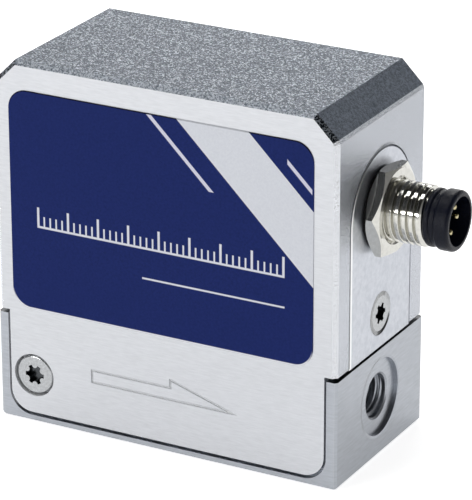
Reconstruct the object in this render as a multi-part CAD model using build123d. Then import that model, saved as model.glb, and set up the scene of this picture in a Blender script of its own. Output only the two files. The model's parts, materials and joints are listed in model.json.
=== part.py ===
from build123d import *
import math
import os

os.makedirs("parts", exist_ok=True)

# Thermal mass flow controller: an aluminium base with the gas path, a deep cover with the
# electronics, and a four-pin M8 plug on the outlet end.
# Frame: X along the gas flow, Y from front to back, Z up. Origin: centre of the base underside.
# All sizes are in millimetres.

# Clearances
FACE_GAP = 0.05             # between a piece and the pocket it drops into
RUNNING_GAP = 0.05          # radial, valve plunger in its tube
THREAD_GAP = 0.03           # radial, screw in its tapped hole

# Base
BODY_LENGTH = 50.0
BODY_WIDTH = 25.0
BASE_HEIGHT = 15.0
BASE_PROUD = 0.1            # how far each base end stands out past the cover
BASE_EDGE = 0.35            # chamfer on the base's corners
BASE_UNDER_EDGE = 0.3       # chamfer around the underside

# Cover
BODY_HEIGHT = 50.5
COVER_SEAM = 0.55           # open joint between the cover's ends and the base top
COVER_FRONT_WALL = 2.5      # front and rear walls, and their tongues
COVER_END_WALL = 2.0
COVER_TOP_WALL = 2.5
COVER_SLOPE = 3.2           # legs of the 45 degree slope at each top end
COVER_EDGE = 0.6            # bevel round the front and rear outlines
SLOPE_EDGE = 0.3            # bevel where the slopes meet the ends
TONGUE_INSET = 1.67         # from the cover's end to the side of the tongue
TONGUE_BOTTOM = 1.3         # height of the tongue's lower edge
TONGUE_CORNER = 3.0
TONGUE_SIDE_GAP = 0.3
TONGUE_BOTTOM_GAP = 0.45
ARROW_TAIL = -10.98         # flow arrow, engraved on the front tongue
ARROW_NECK = 0.83
ARROW_TIP = 10.76
ARROW_LOW = 7.5
ARROW_SHAFT = 1.9
ARROW_BARB = 1.15
ARROW_LINE = 0.22
ARROW_DEPTH = 0.15

# Label
LABEL_LEFT_MARGIN = 2.35
LABEL_RIGHT_MARGIN = 3.3
LABEL_BOTTOM_MARGIN = 0.85  # above the cover's lower edge
LABEL_TOP_MARGIN = 3.8
LABEL_CORNER = 2.7
LABEL_THICKNESS = 0.1

# Arched plate that carries the plug, in a slot of the cover's outlet end
SLOT_HALF_WIDTH = 8.7
SLOT_GAP = 0.12
ARCH_DROP = 16.5            # from the cover's top to the arch centre
PLATE_THICKNESS = 3.0
PLATE_FOOT_GAP = 0.2
PLATE_EDGE = 0.15
PLATE_SCREW_RISE = 5.0      # above the base top
LUG_THICKNESS = 3.6         # lug of the base behind the plate
LUG_WIDTH = 9.0
LUG_HEAD = 4.0              # above the plate screw's axis
LUG_VALVE_GAP = 1.9

# Ports and gas path
PORT_HEIGHT = 8.27
PORT_THREAD_RADIUS = 3.0
PORT_THREAD_LENGTH = 8.0
PORT_CHAMFER = 0.2
SPOTFACE_RADIUS = 5.25
SPOTFACE_DEPTH = 0.5
SCREEN_RADIUS = 2.75
SCREEN_THICKNESS = 0.6
SCREEN_HOLE_RADIUS = 0.3
SCREEN_RINGS = 2
SCREEN_RING_HOLES = 6       # holes in the first ring; the next ones have as many more each
ELEMENT_RADIUS = 2.4
ELEMENT_PASSAGE_RADIUS = 0.35
PASSAGE_RING_SHARE = 0.6
PASSAGE_COUNT = 8
PLENUM_LENGTH = 2.2         # open bore before and after the laminar element
CHANNEL_RADIUS = 1.2
RISER_RADIUS = 0.7
RISER_INSET = 0.2           # from the riser to the valve pocket's wall
TAP_RADIUS = 0.5
DRILL_OVERRUN = 0.3         # channels run this far past the hole they meet

# Fasteners
SCREW_RADIUS = 1.5          # M3
SCREW_HEAD_RADIUS = 2.75
SCREW_HEAD_HEIGHT = 1.35
SCREW_HEAD_ROUND = 0.34     # edge radius of the cover screws' heads
SCREW_COUNTERBORE = 3.0     # radius
SCREW_CLEAR_RADIUS = 1.7
COUNTERSUNK_RADIUS = 2.9
STAR_LOBES = 6
STAR_RADIUS = 1.4
STAR_NOTCH = 0.3            # notch radius as a share of the star's
STAR_DEPTH_SHARE = 0.65     # socket depth as a share of the head's height
SMALL_SCREW_RADIUS = 1.0    # M2
SMALL_HEAD_RADIUS = 1.75
SMALL_HEAD_HEIGHT = 1.1
SMALL_HEAD_ROUND = 0.28
SMALL_SCREW_BITE = 3.2      # thread below the pieces it holds
SCREW_TIP_ROOM = 0.4        # drilled past the screw's tip
SMALL_STAR_SHARE = 0.62
COVER_SCREW_INSET = 3.51    # from the side of the tongue
COVER_SCREW_HEIGHT = 6.73
COVER_SCREW_BITE = 5.0
SCREW_SEAT_DEPTH = 1.5      # counterbore in the tongue
FOOT_HOLE_RADIUS = 1.5      # tapped holes in the underside
FOOT_HOLE_DEPTH = 5.5
FOOT_SPACING_X = 26.0
FOOT_SPACING_Y = 13.0

# M8 plug
PLUG_RISE = 0.7             # above the arch centre
PLUG_THREAD_RADIUS = 4.0
PLUG_THREAD_REACH = 7.3     # end of the metal thread, from the plate's face
PLUG_BORE_RADIUS = 3.1
PLUG_FLANGE_RADIUS = 5.2
PLUG_FLANGE_THICKNESS = 1.2
PLUG_END_CHAMFER = 0.35
THREAD_RELIEF = 0.4         # depth of the relief groove inside the nut's countersink
WASHER_THICKNESS = 0.3
WASHER_RADIUS = 5.3
NUT_SIDES = 6
NUT_CHAMFER_ANGLE = 30.0
NUT_FLATS = 11.2
NUT_THICKNESS = 2.0
NUT_TURN = -5.0             # degrees, a corner's angle from +Y on the tightened nut
NUT_COUNTERSINK = 4.5       # radius
NUT_CORNER_CUT = 0.97       # flat end face, as a share of the distance to the flats
COLLAR_RADIUS = 3.8         # plastic collar against the thread's end
COLLAR_LENGTH = 0.85
COLLAR_ROUND_SHARE = 0.35
NECK_RADIUS = 3.62
NECK_LENGTH = 0.55
SHROUD_RADIUS = 3.97
SHROUD_REACH = 10.9         # front rim, from the plate's face
SHROUD_EDGE = 0.5
SOCKET_RADIUS = 3.23
SOCKET_DEPTH = 2.8
THROAT_RADIUS = 2.6         # narrower lower part of the socket
THROAT_DEPTH = 6.5
INSERT_TAIL = 0.6           # how far the plastic insert stands out behind the flange
PIN_RADIUS = 0.45
PIN_CIRCLE = 1.72
PIN_RECESS = 1.0            # pin tips below the rim
PIN_ROUND_SHARE = 0.8
PIN_TAIL = 1.6              # solder tails behind the insert
PIN_PAIR_ANGLE = 29.0       # half angle between the close pair
PIN_WIDE_ANGLE = 118.0      # half angle between the wide pair
PIN_AXIS_ANGLE = 26.0

# Control valve, standing on the base near the outlet
VALVE_SENSOR_GAP = 2.3      # from the sensor manifold to the valve flange
VALVE_LIFT = 0.4
VALVE_POCKET_RADIUS = 3.8
VALVE_POCKET_DEPTH = 1.2
NOZZLE_RADIUS = 1.3
NOZZLE_LENGTH = 3.0
NOZZLE_PROUD = 0.5
NOZZLE_BORE = 0.5
SEAL_GROOVE_DEPTH = 0.9
SEAL_GROOVE_MIDDLE = 5.6
SEAL_GROOVE_WIDTH = 1.2
VALVE_FLANGE_SIDE = 14.0
VALVE_FLANGE_HEIGHT = 3.0
VALVE_FLANGE_CORNER = 0.9
VALVE_SCREW_OFFSET = 5.0
TUBE_RADIUS = 3.0
TUBE_WALL = 0.5
TUBE_FLANGE_RADIUS = 4.6
TUBE_FLANGE_THICKNESS = 0.8
PLUNGER_LENGTH = 13.5
PAD_RADIUS = 1.7
PAD_THICKNESS = 0.8
PAD_PROUD = 0.2
SPRING_WIRE = 0.3
SPRING_COIL_RADIUS = 1.0
SPRING_POCKET_RADIUS = 1.4
SPRING_POCKET_DEPTH = 2.0
SPRING_TURNS = 5
YOKE_THICKNESS = 1.5
YOKE_WIDTH = 10.0
YOKE_SIDE_GAP = 0.3
YOKE_BEND_SHARE = 0.8
BOBBIN_HEIGHT = 14.0
BOBBIN_WALL = 0.7
BOBBIN_FLANGE_RADIUS = 5.8
BOBBIN_FLANGE_THICKNESS = 1.0
WINDING_RADIUS = 5.4
STUD_RADIUS = 1.5
STUD_SPARE = 0.4
CORE_SHOULDER = 0.8
COIL_NUT_FLATS = 5.5
COIL_NUT_HEIGHT = 2.4
TERMINAL_RADIUS = 0.3
TERMINAL_SEAT = 0.7         # depth of each post in the bobbin's ear
TERMINAL_SPARE = 0.4
TERMINAL_SPACING = 5.0
TERMINAL_EAR = 0.9          # ear beyond each post's axis

# Flow sensor, on the base above the laminar element
SENSOR_GASKET_THICKNESS = 0.5
MANIFOLD_END = 2.9          # from a tap to the manifold's end
MANIFOLD_WIDTH = 8.0
MANIFOLD_HEIGHT = 4.5
BYPASS_WIDTH = 0.8
BYPASS_DEPTH = 0.6
SENSOR_BOARD_THICKNESS = 1.0
SENSOR_CORNER = 1.0
SENSOR_SCREW_INSET = 1.8
SENSOR_SCREW_SIDE = 2.2
SENSOR_CHIP_SIDE = 4.0
SENSOR_CHIP_HEIGHT = 0.9
SENSOR_DIE_LENGTH = 2.6
FLEX_WIDTH = 5.0
FLEX_THICKNESS = 0.15
FLEX_BEND = 1.0
FLEX_START_GAP = 0.3

# Circuit boards
BOARD_THICKNESS = 1.0
BOARD_END_GAP = 2.5         # to the cover's inside, at the left and at the top
BOARD_FOOT_GAP = 1.0        # above the valve flange
BOARD_SPACER = 0.8
BOARD_MARGIN = 1.0
BRACKET_THICKNESS = 0.8
BRACKET_VALVE_GAP = 1.2
BRACKET_MANIFOLD_GAP = 0.2
BRACKET_WALL_GAP = 0.2
BRACKET_HOLE_INSET = 3.0
PLUG_BOARD_WIDTH = 11.0
PLUG_BOARD_HEIGHT = 11.0
HEADER_LENGTH = 2.5
HEADER_HEIGHT = 8.0
CHIP_SIDE = 7.0
CHIP_HEIGHT = 1.2
CHIP_GAP = 1.5
DRIVER_LENGTH = 5.0
DRIVER_WIDTH = 4.0
CAPACITOR_RADIUS = 2.0
CAPACITOR_HEIGHT = 3.6
CAPACITOR_ROUND = 0.4
CAPACITOR_COUNT = 3
CAPACITOR_PITCH = 5.0
FLEX_SOCKET_RISE = 6.0
FLEX_SOCKET_HEIGHT = 2.0
FLEX_SOCKET_DEPTH = 1.6

# Places that follow from the sizes above
HALF_LENGTH = BODY_LENGTH / 2
HALF_WIDTH = BODY_WIDTH / 2
BASE_END = HALF_LENGTH + BASE_PROUD
COVER_BOTTOM = BASE_HEIGHT + COVER_SEAM
CAVITY_HALF_LENGTH = HALF_LENGTH - COVER_END_WALL
CAVITY_HALF_WIDTH = HALF_WIDTH - COVER_FRONT_WALL
CAVITY_TOP = BODY_HEIGHT - COVER_TOP_WALL
TONGUE_HALF = HALF_LENGTH - TONGUE_INSET
COVER_SCREW_X = COVER_SCREW_INSET - TONGUE_HALF     # front screw; the rear one is turned half round
PLATE_INNER = HALF_LENGTH - PLATE_THICKNESS
ARCH_CENTRE = BODY_HEIGHT - ARCH_DROP
PLATE_SCREW_HEIGHT = BASE_HEIGHT + PLATE_SCREW_RISE
LUG_INNER = PLATE_INNER - LUG_THICKNESS

VALVE_X = LUG_INNER - LUG_VALVE_GAP - VALVE_FLANGE_SIDE / 2
VALVE_LEFT = VALVE_X - VALVE_FLANGE_SIDE / 2
POCKET_FLOOR = BASE_HEIGHT - VALVE_POCKET_DEPTH
SEAT_HEIGHT = POCKET_FLOOR + NOZZLE_PROUD
NOZZLE_BOTTOM = SEAT_HEIGHT - NOZZLE_LENGTH
RISER_X = VALVE_X - VALVE_POCKET_RADIUS + RISER_RADIUS + RISER_INSET
TUBE_BORE = TUBE_RADIUS - TUBE_WALL
PLUNGER_RADIUS = TUBE_BORE - RUNNING_GAP
PLUNGER_TOP = SEAT_HEIGHT + PLUNGER_LENGTH
CORE_FACE = PLUNGER_TOP + VALVE_LIFT
VALVE_FLANGE_TOP = BASE_HEIGHT + VALVE_FLANGE_HEIGHT
BOBBIN_BOTTOM = VALVE_FLANGE_TOP + YOKE_THICKNESS
BOBBIN_TOP = BOBBIN_BOTTOM + BOBBIN_HEIGHT
TUBE_TOP = BOBBIN_TOP - CORE_SHOULDER
YOKE_TOP = BOBBIN_TOP + YOKE_THICKNESS
VALVE_SCREW_PLACES = [
    (VALVE_X - VALVE_SCREW_OFFSET, VALVE_SCREW_OFFSET),
    (VALVE_X + VALVE_SCREW_OFFSET, -VALVE_SCREW_OFFSET),
]
TERMINAL_PLACES = [VALVE_X - TERMINAL_SPACING / 2, VALVE_X + TERMINAL_SPACING / 2]
TERMINAL_HEIGHT = BOBBIN_TOP - BOBBIN_FLANGE_THICKNESS / 2

PORT_BOTTOM = BASE_END - SPOTFACE_DEPTH - PORT_THREAD_LENGTH
ELEMENT_BORE_START = SCREEN_THICKNESS - PORT_BOTTOM
ELEMENT_START = ELEMENT_BORE_START + PLENUM_LENGTH
TAP_IN = ELEMENT_START - PLENUM_LENGTH / 2
TAP_OUT = VALVE_LEFT - VALVE_SENSOR_GAP - MANIFOLD_END
ELEMENT_END = TAP_OUT - PLENUM_LENGTH / 2
ELEMENT_BORE_END = ELEMENT_END + PLENUM_LENGTH

SENSOR_X = (TAP_IN + TAP_OUT) / 2
MANIFOLD_LENGTH = TAP_OUT - TAP_IN + 2 * MANIFOLD_END
MANIFOLD_BOTTOM = BASE_HEIGHT + SENSOR_GASKET_THICKNESS
MANIFOLD_TOP = MANIFOLD_BOTTOM + MANIFOLD_HEIGHT
SENSOR_BOARD_TOP = MANIFOLD_TOP + SENSOR_BOARD_THICKNESS
SENSOR_SCREW_X = MANIFOLD_LENGTH / 2 - SENSOR_SCREW_INSET
SENSOR_SCREW_PLACES = [
    (SENSOR_X - SENSOR_SCREW_X, SENSOR_SCREW_SIDE),
    (SENSOR_X + SENSOR_SCREW_X, -SENSOR_SCREW_SIDE),
]

PLUG_HEIGHT = ARCH_CENTRE + PLUG_RISE
NUT_FRONT = HALF_LENGTH + WASHER_THICKNESS + NUT_THICKNESS
NUT_FLARE = NUT_COUNTERSINK - PLUG_THREAD_RADIUS
SHELL_BACK = PLATE_INNER - PLUG_FLANGE_THICKNESS
SHELL_FRONT = HALF_LENGTH + PLUG_THREAD_REACH
INSERT_BACK = SHELL_BACK - INSERT_TAIL
PLUG_BOARD_BACK = INSERT_BACK - BOARD_THICKNESS
HEADER_LEFT = PLUG_BOARD_BACK - HEADER_LENGTH

BRACKET_BACK = CAVITY_HALF_WIDTH - BRACKET_WALL_GAP
BRACKET_FRONT = BRACKET_BACK - BRACKET_THICKNESS
BOARD_BACK = BRACKET_FRONT - BOARD_SPACER
BOARD_FRONT = BOARD_BACK - BOARD_THICKNESS
BOARD_LEFT = BOARD_END_GAP - CAVITY_HALF_LENGTH
BOARD_RIGHT = PLUG_BOARD_BACK - FACE_GAP
BOARD_BOTTOM = VALVE_FLANGE_TOP + BOARD_FOOT_GAP
BOARD_TOP = CAVITY_TOP - BOARD_END_GAP
BRACKET_LEFT = BOARD_LEFT + BOARD_MARGIN
BRACKET_RIGHT = VALVE_LEFT - BRACKET_VALVE_GAP
BRACKET_TOP = BOARD_TOP - BOARD_MARGIN
BRACKET_FOOT_FRONT = MANIFOLD_WIDTH / 2 + BRACKET_MANIFOLD_GAP
BRACKET_HOLES_X = [BRACKET_LEFT + BRACKET_HOLE_INSET, BRACKET_RIGHT - BRACKET_HOLE_INSET]
BRACKET_SCREW_PLACES = [(x, (BRACKET_FOOT_FRONT + BRACKET_FRONT) / 2) for x in BRACKET_HOLES_X]
BOARD_HOLES_Z = [BOARD_BOTTOM + BRACKET_HOLE_INSET, BRACKET_TOP - BRACKET_HOLE_INSET]
BOARD_SCREW_PLACES = [(x, z) for x in BRACKET_HOLES_X for z in BOARD_HOLES_Z]
FLEX_SOCKET_BOTTOM = BOARD_BOTTOM + FLEX_SOCKET_RISE
FLEX_Y = BOARD_FRONT - FLEX_SOCKET_DEPTH / 2
CHIP_CENTRE_Z = FLEX_SOCKET_BOTTOM + FLEX_SOCKET_HEIGHT + CHIP_GAP + CHIP_SIDE / 2
DRIVER_X = SENSOR_X + (CHIP_SIDE + DRIVER_LENGTH) / 2 + CHIP_GAP


# ---- Helpers


def block(x0, x1, y0, y1, z0, z1):
    """Box between two corners."""
    middle = Pos((x0 + x1) / 2, (y0 + y1) / 2, (z0 + z1) / 2)
    return middle * Box(x1 - x0, y1 - y0, z1 - z0)


def along_x(sketch, x0, x1):
    """Prism from x0 to x1; the sketch is drawn in (y, z)."""
    return extrude(Plane.YZ.offset(x0) * sketch, x1 - x0)


def along_y(sketch, y0, y1):
    """Prism from y0 to y1; the sketch is drawn in (x, z)."""
    return extrude(Plane.XZ.offset(-y1) * sketch, y1 - y0)


def along_z(sketch, z0, z1):
    """Prism from z0 to z1; the sketch is drawn in (x, y)."""
    return extrude(Plane.XY.offset(z0) * sketch, z1 - z0)


def rod_x(radius, x0, x1, y=0.0, z=0.0):
    return along_x(Pos(y, z) * Circle(radius), x0, x1)


def rod_y(radius, y0, y1, x=0.0, z=0.0):
    return along_y(Pos(x, z) * Circle(radius), y0, y1)


def rod_z(radius, z0, z1, x=0.0, y=0.0):
    return along_z(Pos(x, y) * Circle(radius), z0, z1)


def aimed(shape, position, direction):
    """A shape drawn around +Z, turned to a direction and moved to a position."""
    return Plane(origin=position, z_dir=direction).location * shape


def arch(half_width, bottom):
    """Arched doorway in (y, z): straight sides up to the arch centre, then a half circle."""
    legs = Pos(0, (bottom + ARCH_CENTRE) / 2) * Rectangle(2 * half_width, ARCH_CENTRE - bottom)
    return legs + Pos(0, ARCH_CENTRE) * Circle(half_width)


def star_socket(radius, depth):
    """Six-lobed screwdriver socket, cut downwards from z = 0."""
    star = Circle(radius)
    for place in PolarLocations(radius, STAR_LOBES):
        star -= place * Circle(radius * STAR_NOTCH)
    return extrude(star, -depth)


def cap_screw(head_radius, head_height, head_round, radius, length, star_radius):
    """Low-head screw: its head stands on z = 0 and the thread goes down."""
    head = rod_z(head_radius, 0, head_height)
    head = fillet(head.edges().sort_by(Axis.Z)[-1], head_round)
    socket = Pos(0, 0, head_height) * star_socket(star_radius, head_height * STAR_DEPTH_SHARE)
    return head + rod_z(radius, -length, 0) - socket


def countersunk_screw(head_radius, radius, length, star_radius):
    """Screw with a 90 degree countersunk head: its top is z = 0 and the thread goes down."""
    cone_height = head_radius - radius
    cone = Pos(0, 0, -cone_height / 2) * Cone(radius, head_radius, cone_height)
    shank = rod_z(radius, -length, -cone_height)
    return cone + shank - star_socket(star_radius, cone_height * STAR_DEPTH_SHARE)


def small_screw(length):
    """M2 screw: its head stands on z = 0 and the thread of the given length goes down."""
    star = STAR_RADIUS * SMALL_STAR_SHARE
    return cap_screw(SMALL_HEAD_RADIUS, SMALL_HEAD_HEIGHT, SMALL_HEAD_ROUND, SMALL_SCREW_RADIUS, length, star)


def small_thread(x, y):
    """Tapped M2 hole in the base's top face."""
    depth = SMALL_SCREW_BITE + SCREW_TIP_ROOM
    return rod_z(SMALL_SCREW_RADIUS + THREAD_GAP, BASE_HEIGHT - depth, BASE_HEIGHT, x, y)


def hex_nut(flats, thickness, bore, corner_cut):
    """Hexagon nut on z = 0 with chamfered corners; the first corner points along +X."""
    corner = flats / 2 / math.cos(math.pi / NUT_SIDES)
    rim = flats / 2 * corner_cut
    drop = (corner - rim) * math.tan(math.radians(NUT_CHAMFER_ANGLE))
    outline = [(0, 0), (rim, 0), (corner, drop), (corner, thickness - drop), (rim, thickness), (0, thickness)]
    envelope = revolve(Plane.XZ * Polygon(*outline, align=None), Axis.Z)
    prism = along_z(RegularPolygon(flats / 2, NUT_SIDES, major_radius=False), 0, thickness)
    return prism & envelope - rod_z(bore, 0, thickness)


def save(node, shape):
    """Write one node, and print its solids and volume."""
    shape = shape if isinstance(shape, Compound) else Compound(children=[shape])
    shape.label = node
    export_step(shape, f"parts/{node}.step")
    print(f"{node}: {len(shape.solids())} solids, {shape.volume:.2f} mm3")


# ---- Base: one machined block with the gas path


def tongue_outline(grow_side, grow_bottom):
    """Front outline of the cover's tongue in (x, z), running up past the base top."""
    half = TONGUE_HALF + grow_side
    bottom = TONGUE_BOTTOM - grow_bottom
    top = BASE_HEIGHT + 2 * TONGUE_CORNER
    corner = TONGUE_CORNER + min(grow_side, grow_bottom)
    return Pos(0, (bottom + top) / 2) * RectangleRounded(2 * half, top - bottom, corner)


def port():
    """Outlet port: spotface, chamfered mouth and threaded bore."""
    mouth = BASE_END - SPOTFACE_DEPTH
    flare = Cone(PORT_THREAD_RADIUS, PORT_THREAD_RADIUS + PORT_CHAMFER, PORT_CHAMFER)
    spotface = rod_x(SPOTFACE_RADIUS, mouth, BASE_END, 0, PORT_HEIGHT)
    thread = rod_x(PORT_THREAD_RADIUS, PORT_BOTTOM, mouth, 0, PORT_HEIGHT)
    return spotface + thread + aimed(flare, (mouth - PORT_CHAMFER / 2, 0, PORT_HEIGHT), (1, 0, 0))


def gas_path():
    """Everything the gas flows through in the base, from the inlet port to the outlet port."""
    path = port() + mirror(port(), about=Plane.YZ)
    path += rod_x(SCREEN_RADIUS + FACE_GAP, -PORT_BOTTOM, ELEMENT_BORE_START, 0, PORT_HEIGHT)
    path += rod_x(ELEMENT_RADIUS + FACE_GAP, ELEMENT_BORE_START, ELEMENT_BORE_END, 0, PORT_HEIGHT)
    path += rod_x(CHANNEL_RADIUS, ELEMENT_BORE_END, RISER_X + RISER_RADIUS + DRILL_OVERRUN, 0, PORT_HEIGHT)
    path += rod_z(RISER_RADIUS, PORT_HEIGHT, POCKET_FLOOR, RISER_X)
    path += rod_z(VALVE_POCKET_RADIUS, POCKET_FLOOR, BASE_HEIGHT, VALVE_X)
    path += rod_z(NOZZLE_RADIUS + THREAD_GAP, NOZZLE_BOTTOM, POCKET_FLOOR, VALVE_X)
    path += rod_z(RISER_RADIUS, PORT_HEIGHT, NOZZLE_BOTTOM, VALVE_X)
    path += rod_x(CHANNEL_RADIUS, VALVE_X - RISER_RADIUS - DRILL_OVERRUN, PORT_BOTTOM, 0, PORT_HEIGHT)
    for x in (TAP_IN, TAP_OUT):
        path += rod_z(TAP_RADIUS, PORT_HEIGHT, BASE_HEIGHT, x)
    return path


def seal_groove():
    """Ring groove for the valve's seal, in the base top."""
    outer = SEAL_GROOVE_MIDDLE + SEAL_GROOVE_WIDTH / 2
    inner = SEAL_GROOVE_MIDDLE - SEAL_GROOVE_WIDTH / 2
    ring = Pos(VALVE_X, 0) * (Circle(outer) - Circle(inner))
    return along_z(ring, BASE_HEIGHT - SEAL_GROOVE_DEPTH, BASE_HEIGHT)


def base_block():
    body = block(-BASE_END, BASE_END, -HALF_WIDTH, HALF_WIDTH, 0, BASE_HEIGHT)
    body = chamfer(body.edges().filter_by(Axis.Z), BASE_EDGE)
    body = chamfer(body.faces().sort_by(Axis.Z)[0].edges(), BASE_UNDER_EDGE)
    lug_top = PLATE_SCREW_HEIGHT + LUG_HEAD
    body += block(LUG_INNER, PLATE_INNER, -LUG_WIDTH / 2, LUG_WIDTH / 2, BASE_HEIGHT, lug_top)
    recess = tongue_outline(TONGUE_SIDE_GAP, TONGUE_BOTTOM_GAP)
    body -= along_y(recess, CAVITY_HALF_WIDTH, HALF_WIDTH)
    body -= along_y(recess, -HALF_WIDTH, -CAVITY_HALF_WIDTH)
    body -= gas_path()
    body -= seal_groove()
    for x, y in VALVE_SCREW_PLACES + SENSOR_SCREW_PLACES + BRACKET_SCREW_PLACES:
        body -= small_thread(x, y)
    tapped = SCREW_RADIUS + THREAD_GAP
    bite = COVER_SCREW_BITE + SCREW_TIP_ROOM
    body -= rod_y(tapped, -CAVITY_HALF_WIDTH, bite - CAVITY_HALF_WIDTH, COVER_SCREW_X, COVER_SCREW_HEIGHT)
    body -= rod_y(tapped, CAVITY_HALF_WIDTH - bite, CAVITY_HALF_WIDTH, -COVER_SCREW_X, COVER_SCREW_HEIGHT)
    body -= rod_x(tapped, LUG_INNER, PLATE_INNER, 0, PLATE_SCREW_HEIGHT)
    for place in GridLocations(FOOT_SPACING_X, FOOT_SPACING_Y, 2, 2):
        body -= place * rod_z(FOOT_HOLE_RADIUS, 0, FOOT_HOLE_DEPTH)
    return body


# ---- Cover and label


def house_outline(half_length, bottom, top, slope, edge):
    """Outline in (x, z) of a block with a 45 degree slope at each top end."""
    back = edge / math.sqrt(2)
    right = [
        (half_length, bottom),
        (half_length, top - slope - edge),
        (half_length - back, top - slope + back),
        (half_length - slope, top),
    ]
    left = [(-x, z) for x, z in reversed(right)]
    return Polygon(*right, *left, align=None)


def flow_arrow():
    """Half arrow in (x, z) that points to the outlet, as a thin outline."""
    shoulder = ARROW_LOW + ARROW_SHAFT
    arrow = Polygon(
        (ARROW_TAIL, ARROW_LOW),
        (ARROW_TIP, ARROW_LOW),
        (ARROW_NECK, shoulder + ARROW_BARB),
        (ARROW_NECK, shoulder),
        (ARROW_TAIL, shoulder),
        align=None,
    )
    return arrow - offset(arrow, -ARROW_LINE, kind=Kind.INTERSECTION)


def cover_screw_cut():
    """Counterbore and clearance hole through the front tongue."""
    seat = SCREW_SEAT_DEPTH - HALF_WIDTH
    counterbore = rod_y(SCREW_COUNTERBORE, -HALF_WIDTH, seat, COVER_SCREW_X, COVER_SCREW_HEIGHT)
    hole = rod_y(SCREW_CLEAR_RADIUS, seat, -CAVITY_HALF_WIDTH, COVER_SCREW_X, COVER_SCREW_HEIGHT)
    return counterbore + hole


def cover():
    outline = house_outline(HALF_LENGTH, COVER_BOTTOM, BODY_HEIGHT, COVER_SLOPE, SLOPE_EDGE)
    body = along_y(outline, -HALF_WIDTH, HALF_WIDTH)
    rims = body.faces().filter_by(Axis.Y).edges()
    body = chamfer(rims.filter_by(lambda edge: edge.center().Z > COVER_BOTTOM + COVER_EDGE), COVER_EDGE)
    tongue = tongue_outline(0, 0)
    body += along_y(tongue, -HALF_WIDTH, -CAVITY_HALF_WIDTH)
    body += along_y(tongue, CAVITY_HALF_WIDTH, HALF_WIDTH)
    cavity_slope = COVER_SLOPE + (math.sqrt(2) - 1) * COVER_END_WALL - COVER_TOP_WALL
    cavity = house_outline(CAVITY_HALF_LENGTH, 0, CAVITY_TOP, cavity_slope, 0)
    body -= along_y(cavity, -CAVITY_HALF_WIDTH, CAVITY_HALF_WIDTH)
    body -= along_x(arch(SLOT_HALF_WIDTH, 0), CAVITY_HALF_LENGTH, HALF_LENGTH)
    body -= cover_screw_cut()
    body -= Rot(0, 0, 180) * cover_screw_cut()
    body -= along_y(flow_arrow(), -HALF_WIDTH, ARROW_DEPTH - HALF_WIDTH)
    return body


def label():
    width = BODY_LENGTH - LABEL_LEFT_MARGIN - LABEL_RIGHT_MARGIN
    bottom = COVER_BOTTOM + LABEL_BOTTOM_MARGIN
    top = BODY_HEIGHT - LABEL_TOP_MARGIN
    middle = Pos((LABEL_LEFT_MARGIN - LABEL_RIGHT_MARGIN) / 2, (bottom + top) / 2)
    sheet = middle * RectangleRounded(width, top - bottom, LABEL_CORNER)
    return along_y(sheet, -HALF_WIDTH - LABEL_THICKNESS, -HALF_WIDTH)


def cover_screws():
    length = COVER_FRONT_WALL - SCREW_SEAT_DEPTH + COVER_SCREW_BITE
    head = (SCREW_HEAD_RADIUS, SCREW_HEAD_HEIGHT, SCREW_HEAD_ROUND)
    screw = cap_screw(*head, SCREW_RADIUS, length, STAR_RADIUS)
    front = aimed(screw, (COVER_SCREW_X, SCREW_SEAT_DEPTH - HALF_WIDTH, COVER_SCREW_HEIGHT), (0, -1, 0))
    return Compound(children=[front, Rot(0, 0, 180) * front])


# ---- Arched plate and the M8 plug it carries


def connector_plate():
    half_width = SLOT_HALF_WIDTH - SLOT_GAP
    plate = along_x(arch(half_width, BASE_HEIGHT + PLATE_FOOT_GAP), PLATE_INNER, HALF_LENGTH)
    plate = chamfer(plate.faces().sort_by(Axis.X)[-1].edges(), PLATE_EDGE)
    plate -= rod_x(PLUG_THREAD_RADIUS + FACE_GAP, PLATE_INNER, HALF_LENGTH, 0, PLUG_HEIGHT)
    cone_height = COUNTERSUNK_RADIUS - SCREW_RADIUS
    sink = Cone(SCREW_RADIUS + FACE_GAP, COUNTERSUNK_RADIUS + FACE_GAP, cone_height)
    plate -= aimed(sink, (HALF_LENGTH - cone_height / 2, 0, PLATE_SCREW_HEIGHT), (1, 0, 0))
    return plate - rod_x(SCREW_RADIUS + FACE_GAP, PLATE_INNER, HALF_LENGTH, 0, PLATE_SCREW_HEIGHT)


def plate_screw():
    length = PLATE_THICKNESS + LUG_THICKNESS - SCREW_TIP_ROOM
    screw = countersunk_screw(COUNTERSUNK_RADIUS, SCREW_RADIUS, length, STAR_RADIUS)
    return aimed(screw, (HALF_LENGTH, 0, PLATE_SCREW_HEIGHT), (1, 0, 0))


def connector_shell():
    """Threaded shell with a flange behind the plate; the thread is its outside cylinder."""
    body = rod_x(PLUG_THREAD_RADIUS, PLATE_INNER, SHELL_FRONT, 0, PLUG_HEIGHT)
    body = chamfer(body.faces().sort_by(Axis.X)[-1].edges(), PLUG_END_CHAMFER)
    body += rod_x(PLUG_FLANGE_RADIUS, SHELL_BACK, PLATE_INNER, 0, PLUG_HEIGHT)
    groove = Pos(0, PLUG_HEIGHT) * (Circle(NUT_COUNTERSINK) - Circle(PLUG_THREAD_RADIUS - THREAD_RELIEF))
    body -= along_x(groove, NUT_FRONT - NUT_FLARE, NUT_FRONT)
    return body - rod_x(PLUG_BORE_RADIUS, SHELL_BACK, SHELL_FRONT, 0, PLUG_HEIGHT)


def nut_washer():
    ring = Pos(0, PLUG_HEIGHT) * (Circle(WASHER_RADIUS) - Circle(PLUG_THREAD_RADIUS + FACE_GAP))
    return along_x(ring, HALF_LENGTH, HALF_LENGTH + WASHER_THICKNESS)


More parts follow.
